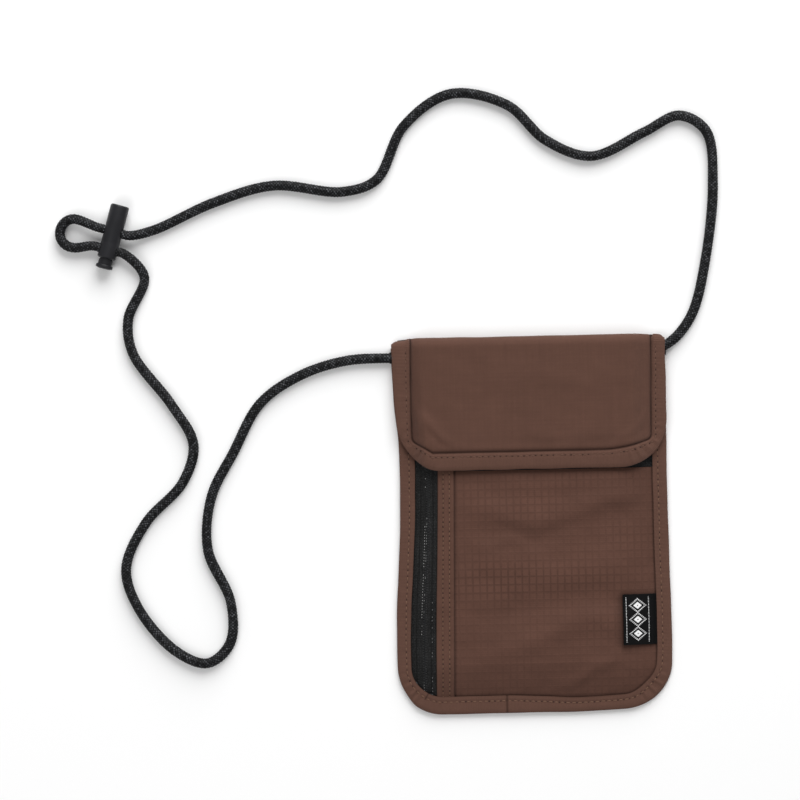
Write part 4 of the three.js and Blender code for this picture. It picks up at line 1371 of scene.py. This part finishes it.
LABEL_LEFT = label_low[0] + 0.45
LABEL_RIGHT = HALF - BODY_TAPE + 1.5
LABEL_UNDER = 0.12
LOZENGE_RINGS = (4.3, 3.9, 1.9, 1.4, 0.8)
LOZENGE_SPACING = 7.4
LOZENGE_CORNERS = [(0, 1), (1, 0), (0, -1), (-1, 0), (0, 1)]


def label_lift(x):
    """How far the label's upper layer stands off the cloth: nothing at the seam, most at its free fold."""
    away = HALF - BODY_TAPE - x
    return 0.15 + 0.85 * smooth((away + 0.3) / 3.5) + 0.7 * smooth((away - 6) / 10)


def label_wave(x, y):
    wave = 0.12 * np.sin((y - label_low[1]) / (label_high[1] - label_low[1]) * math.pi * 1.5 + 0.6)
    return wave * smooth((HALF - BODY_TAPE - x) / 3)


def add_label():
    """A woven tape folded double and sewn into the right seam."""
    columns = LABEL_LEFT + (LABEL_RIGHT - LABEL_LEFT) * np.linspace(0, 1, 30)
    turn = np.linspace(math.pi / 2, 3 * math.pi / 2, 8)
    fold_top = label_lift(LABEL_LEFT)
    fold_lift = (fold_top + LABEL_UNDER) / 2 + (fold_top - LABEL_UNDER) / 2 * np.sin(turn)
    under = np.full(len(columns), LABEL_UNDER)
    path_x = np.concatenate([columns[::-1], LABEL_LEFT + 0.42 * np.cos(turn), columns])[:, None]
    path_lift = np.concatenate([label_lift(columns[::-1]), fold_lift, under])[:, None]
    rows = np.linspace(label_low[1], label_high[1], 40)[None, :]
    x, y = path_x + 0 * rows, rows + 0 * path_x
    z = front_top(x, y) + path_lift + label_wave(x, y) * (path_lift > 0.5)
    obj = shell_from_grid("label_tape", settle(np.stack([x, y, z], -1)), 0.22, LABEL_WEAVE)
    declare(obj, "pouch", "label_weave", "label")


def float_mesh(x, y, length):
    """One raised white thread of the label's pattern."""
    here = settle(np.array([x, y, 0.0]))
    x, y = np.array(x), np.array(y)
    here[2] = front_top(x, y) + label_lift(x) + label_wave(x, y) + 0.02
    return stitch_mesh(here, ALONG_X, UP, length, 0.16)


def add_label_motif():
    """Woven lozenges and border lines, in raised white floats: a plain pattern with no wording."""
    parts = []
    for k in (-1, 0, 1):
        for ring in LOZENGE_RINGS:
            for step in np.linspace(0, 4, 25)[:-1]:
                corner = int(step)
                (ax, ay), (bx, by) = LOZENGE_CORNERS[corner:corner + 2]
                x = label_low[0] + 7.6 + ring * (ax + (bx - ax) * (step - corner))
                y = LABEL_MIDDLE_Y + k * LOZENGE_SPACING + 0.85 * ring * (ay + (by - ay) * (step - corner))
                parts.append(float_mesh(x, y, 0.9))
    for x in (label_low[0] + 1.7, label_low[0] + 13.4):
        for y in np.arange(label_low[1] + 1.6, label_high[1] - 1.2, 0.8):
            parts.append(float_mesh(x, y, 0.7))
    declare(join_meshes("label_motif", parts, WHITE_THREAD), "pouch", "label_weave")


def add_patch(name, node, material, slot, body, up):
    """A hook or loop patch: rounded edges and a bumpy pile."""
    low, high = box_mm(node)
    x = np.linspace(low[0], high[0], 120)
    y = np.linspace(low[1], high[1], 48)
    gx, gy = np.meshgrid(x, y)
    rim = np.minimum(np.minimum(gx - low[0], high[0] - gx), np.minimum(gy - low[1], high[1] - gy))
    pile_height = smooth(rim / 1.6) * (0.85 + 0.12 * noise(gx, gy, 1.7, 71) + 0.08 * noise(gx, gy, 4, 72))
    tall = high[2] - low[2] - 0.1
    z = low[2] + 0.35 + (tall - 0.35) * pile_height if up else high[2] - 0.35 - (tall - 0.35) * pile_height
    grid = np.stack([gx, gy, z], -1)
    if not up:
        grid = grid[:, ::-1]
    obj = shell_from_grid(name, grid, 0.3, material)
    declare(obj, body, slot, node)


def add_cord_ends():
    """The cord's flattened ends, sewn down between the pouch and its flap with a dense bar of stitches."""
    for side, (low, high) in anchor_boxes.items():
        sign = -1 if side == "left" else 1
        x = np.linspace(low[0] - (0.6 if sign < 0 else 0), high[0] + (0.6 if sign > 0 else 0), 26)
        turn = np.linspace(0, 2 * math.pi, 25)[:-1]
        middle = (low + high) / 2
        wide, tall = (high[1] - low[1]) / 2, (high[2] - low[2]) / 2
        weave = 0.1 * np.sin(8 * turn[None, :] + 2.2 * x[:, None])
        weave = weave * np.sin(8 * turn[None, :] - 2.2 * x[:, None])
        y = middle[1] + (wide + weave) * np.cos(turn)[None, :]
        z = middle[2] + (tall + weave) * np.sin(turn)[None, :]
        rings = np.stack([np.repeat(x[:, None], len(turn), 1), y, z], -1)
        obj = sweep(f"cord_end_{side}", rings, CORD_YARN)
        declare(obj, "pouch", "cord_braid", f"cord_anchor_{side}")
        parts = []
        for k in range(9):
            here_x = middle[0] - sign * 1.5 + 0.5 * (k % 2)
            here = np.array([here_x, middle[1] - 2.4 + 0.6 * k, high[2] + 0.03])
            parts.append(stitch_mesh(here, ALONG_X, UP, 3.0, 0.17))
        bar = join_meshes(f"cord_end_bartack_{side}", parts, BLACK_THREAD)
        declare(bar, "pouch", "cord_braid")


def add_mouth_hem():
    """The front pocket's folded top edge."""
    x = np.linspace(-HALF + 4, HALF - 4, 150)
    turn = np.linspace(0, 2 * math.pi, 15)[:-1]
    y = MOUTH_Y - 3.4 + 3.6 * np.sign(np.cos(turn)) * np.abs(np.cos(turn)) ** 0.5
    rise = 0.55 * np.sign(np.sin(turn)) * np.abs(np.sin(turn)) ** 0.8
    gx = np.repeat(x[:, None], len(turn), 1)
    gy = np.repeat(y[None, :], len(x), 0)
    z = front_top(gx, gy * 0 + MOUTH_Y - 3) + 0.05 + rise[None, :] + 0.05 * np.sin(gx * 1.7)
    rings = np.stack([gx, gy, z], -1)
    along = np.repeat(x[:, None], len(turn), 1)
    around = np.repeat((np.arange(len(turn)) * 1.1)[None, :], len(x), 0)
    obj = sweep("mouth_hem", settle(rings), TAPE_CLOTH, np.stack([along, around], -1))
    declare(obj, "pouch", "binding_tape")


add_label()
add_label_motif()
add_patch("loop_patch_pile", "loop_patch", LOOP_PILE, "loop_pile", "pouch", True)
add_patch("hook_patch_pile", "hook_patch", HOOK_PILE, "hook_pile", "flap", False)
add_cord_ends()
add_mouth_hem()

# ---------------------------------------------------------------- CAD pieces that stay


def dress(node, material, bevel=0.0):
    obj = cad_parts[node]
    for slot in obj.material_slots:
        slot.material = material
    if bevel:
        bevel_edges(obj, bevel)


for name in ("side_slider", "side_pull", "top_slider", "top_pull"):
    dress(name, METAL, 0.16)
for name in ("side_zip_bottom_stop", "side_zip_top_stop", "top_zip_stop_right", "top_zip_stop_left"):
    dress(name, METAL, 0.2)
dress("lock_spring", STEEL)

# ---------------------------------------------------------------- last update of the view layer

bpy.context.view_layer.update()
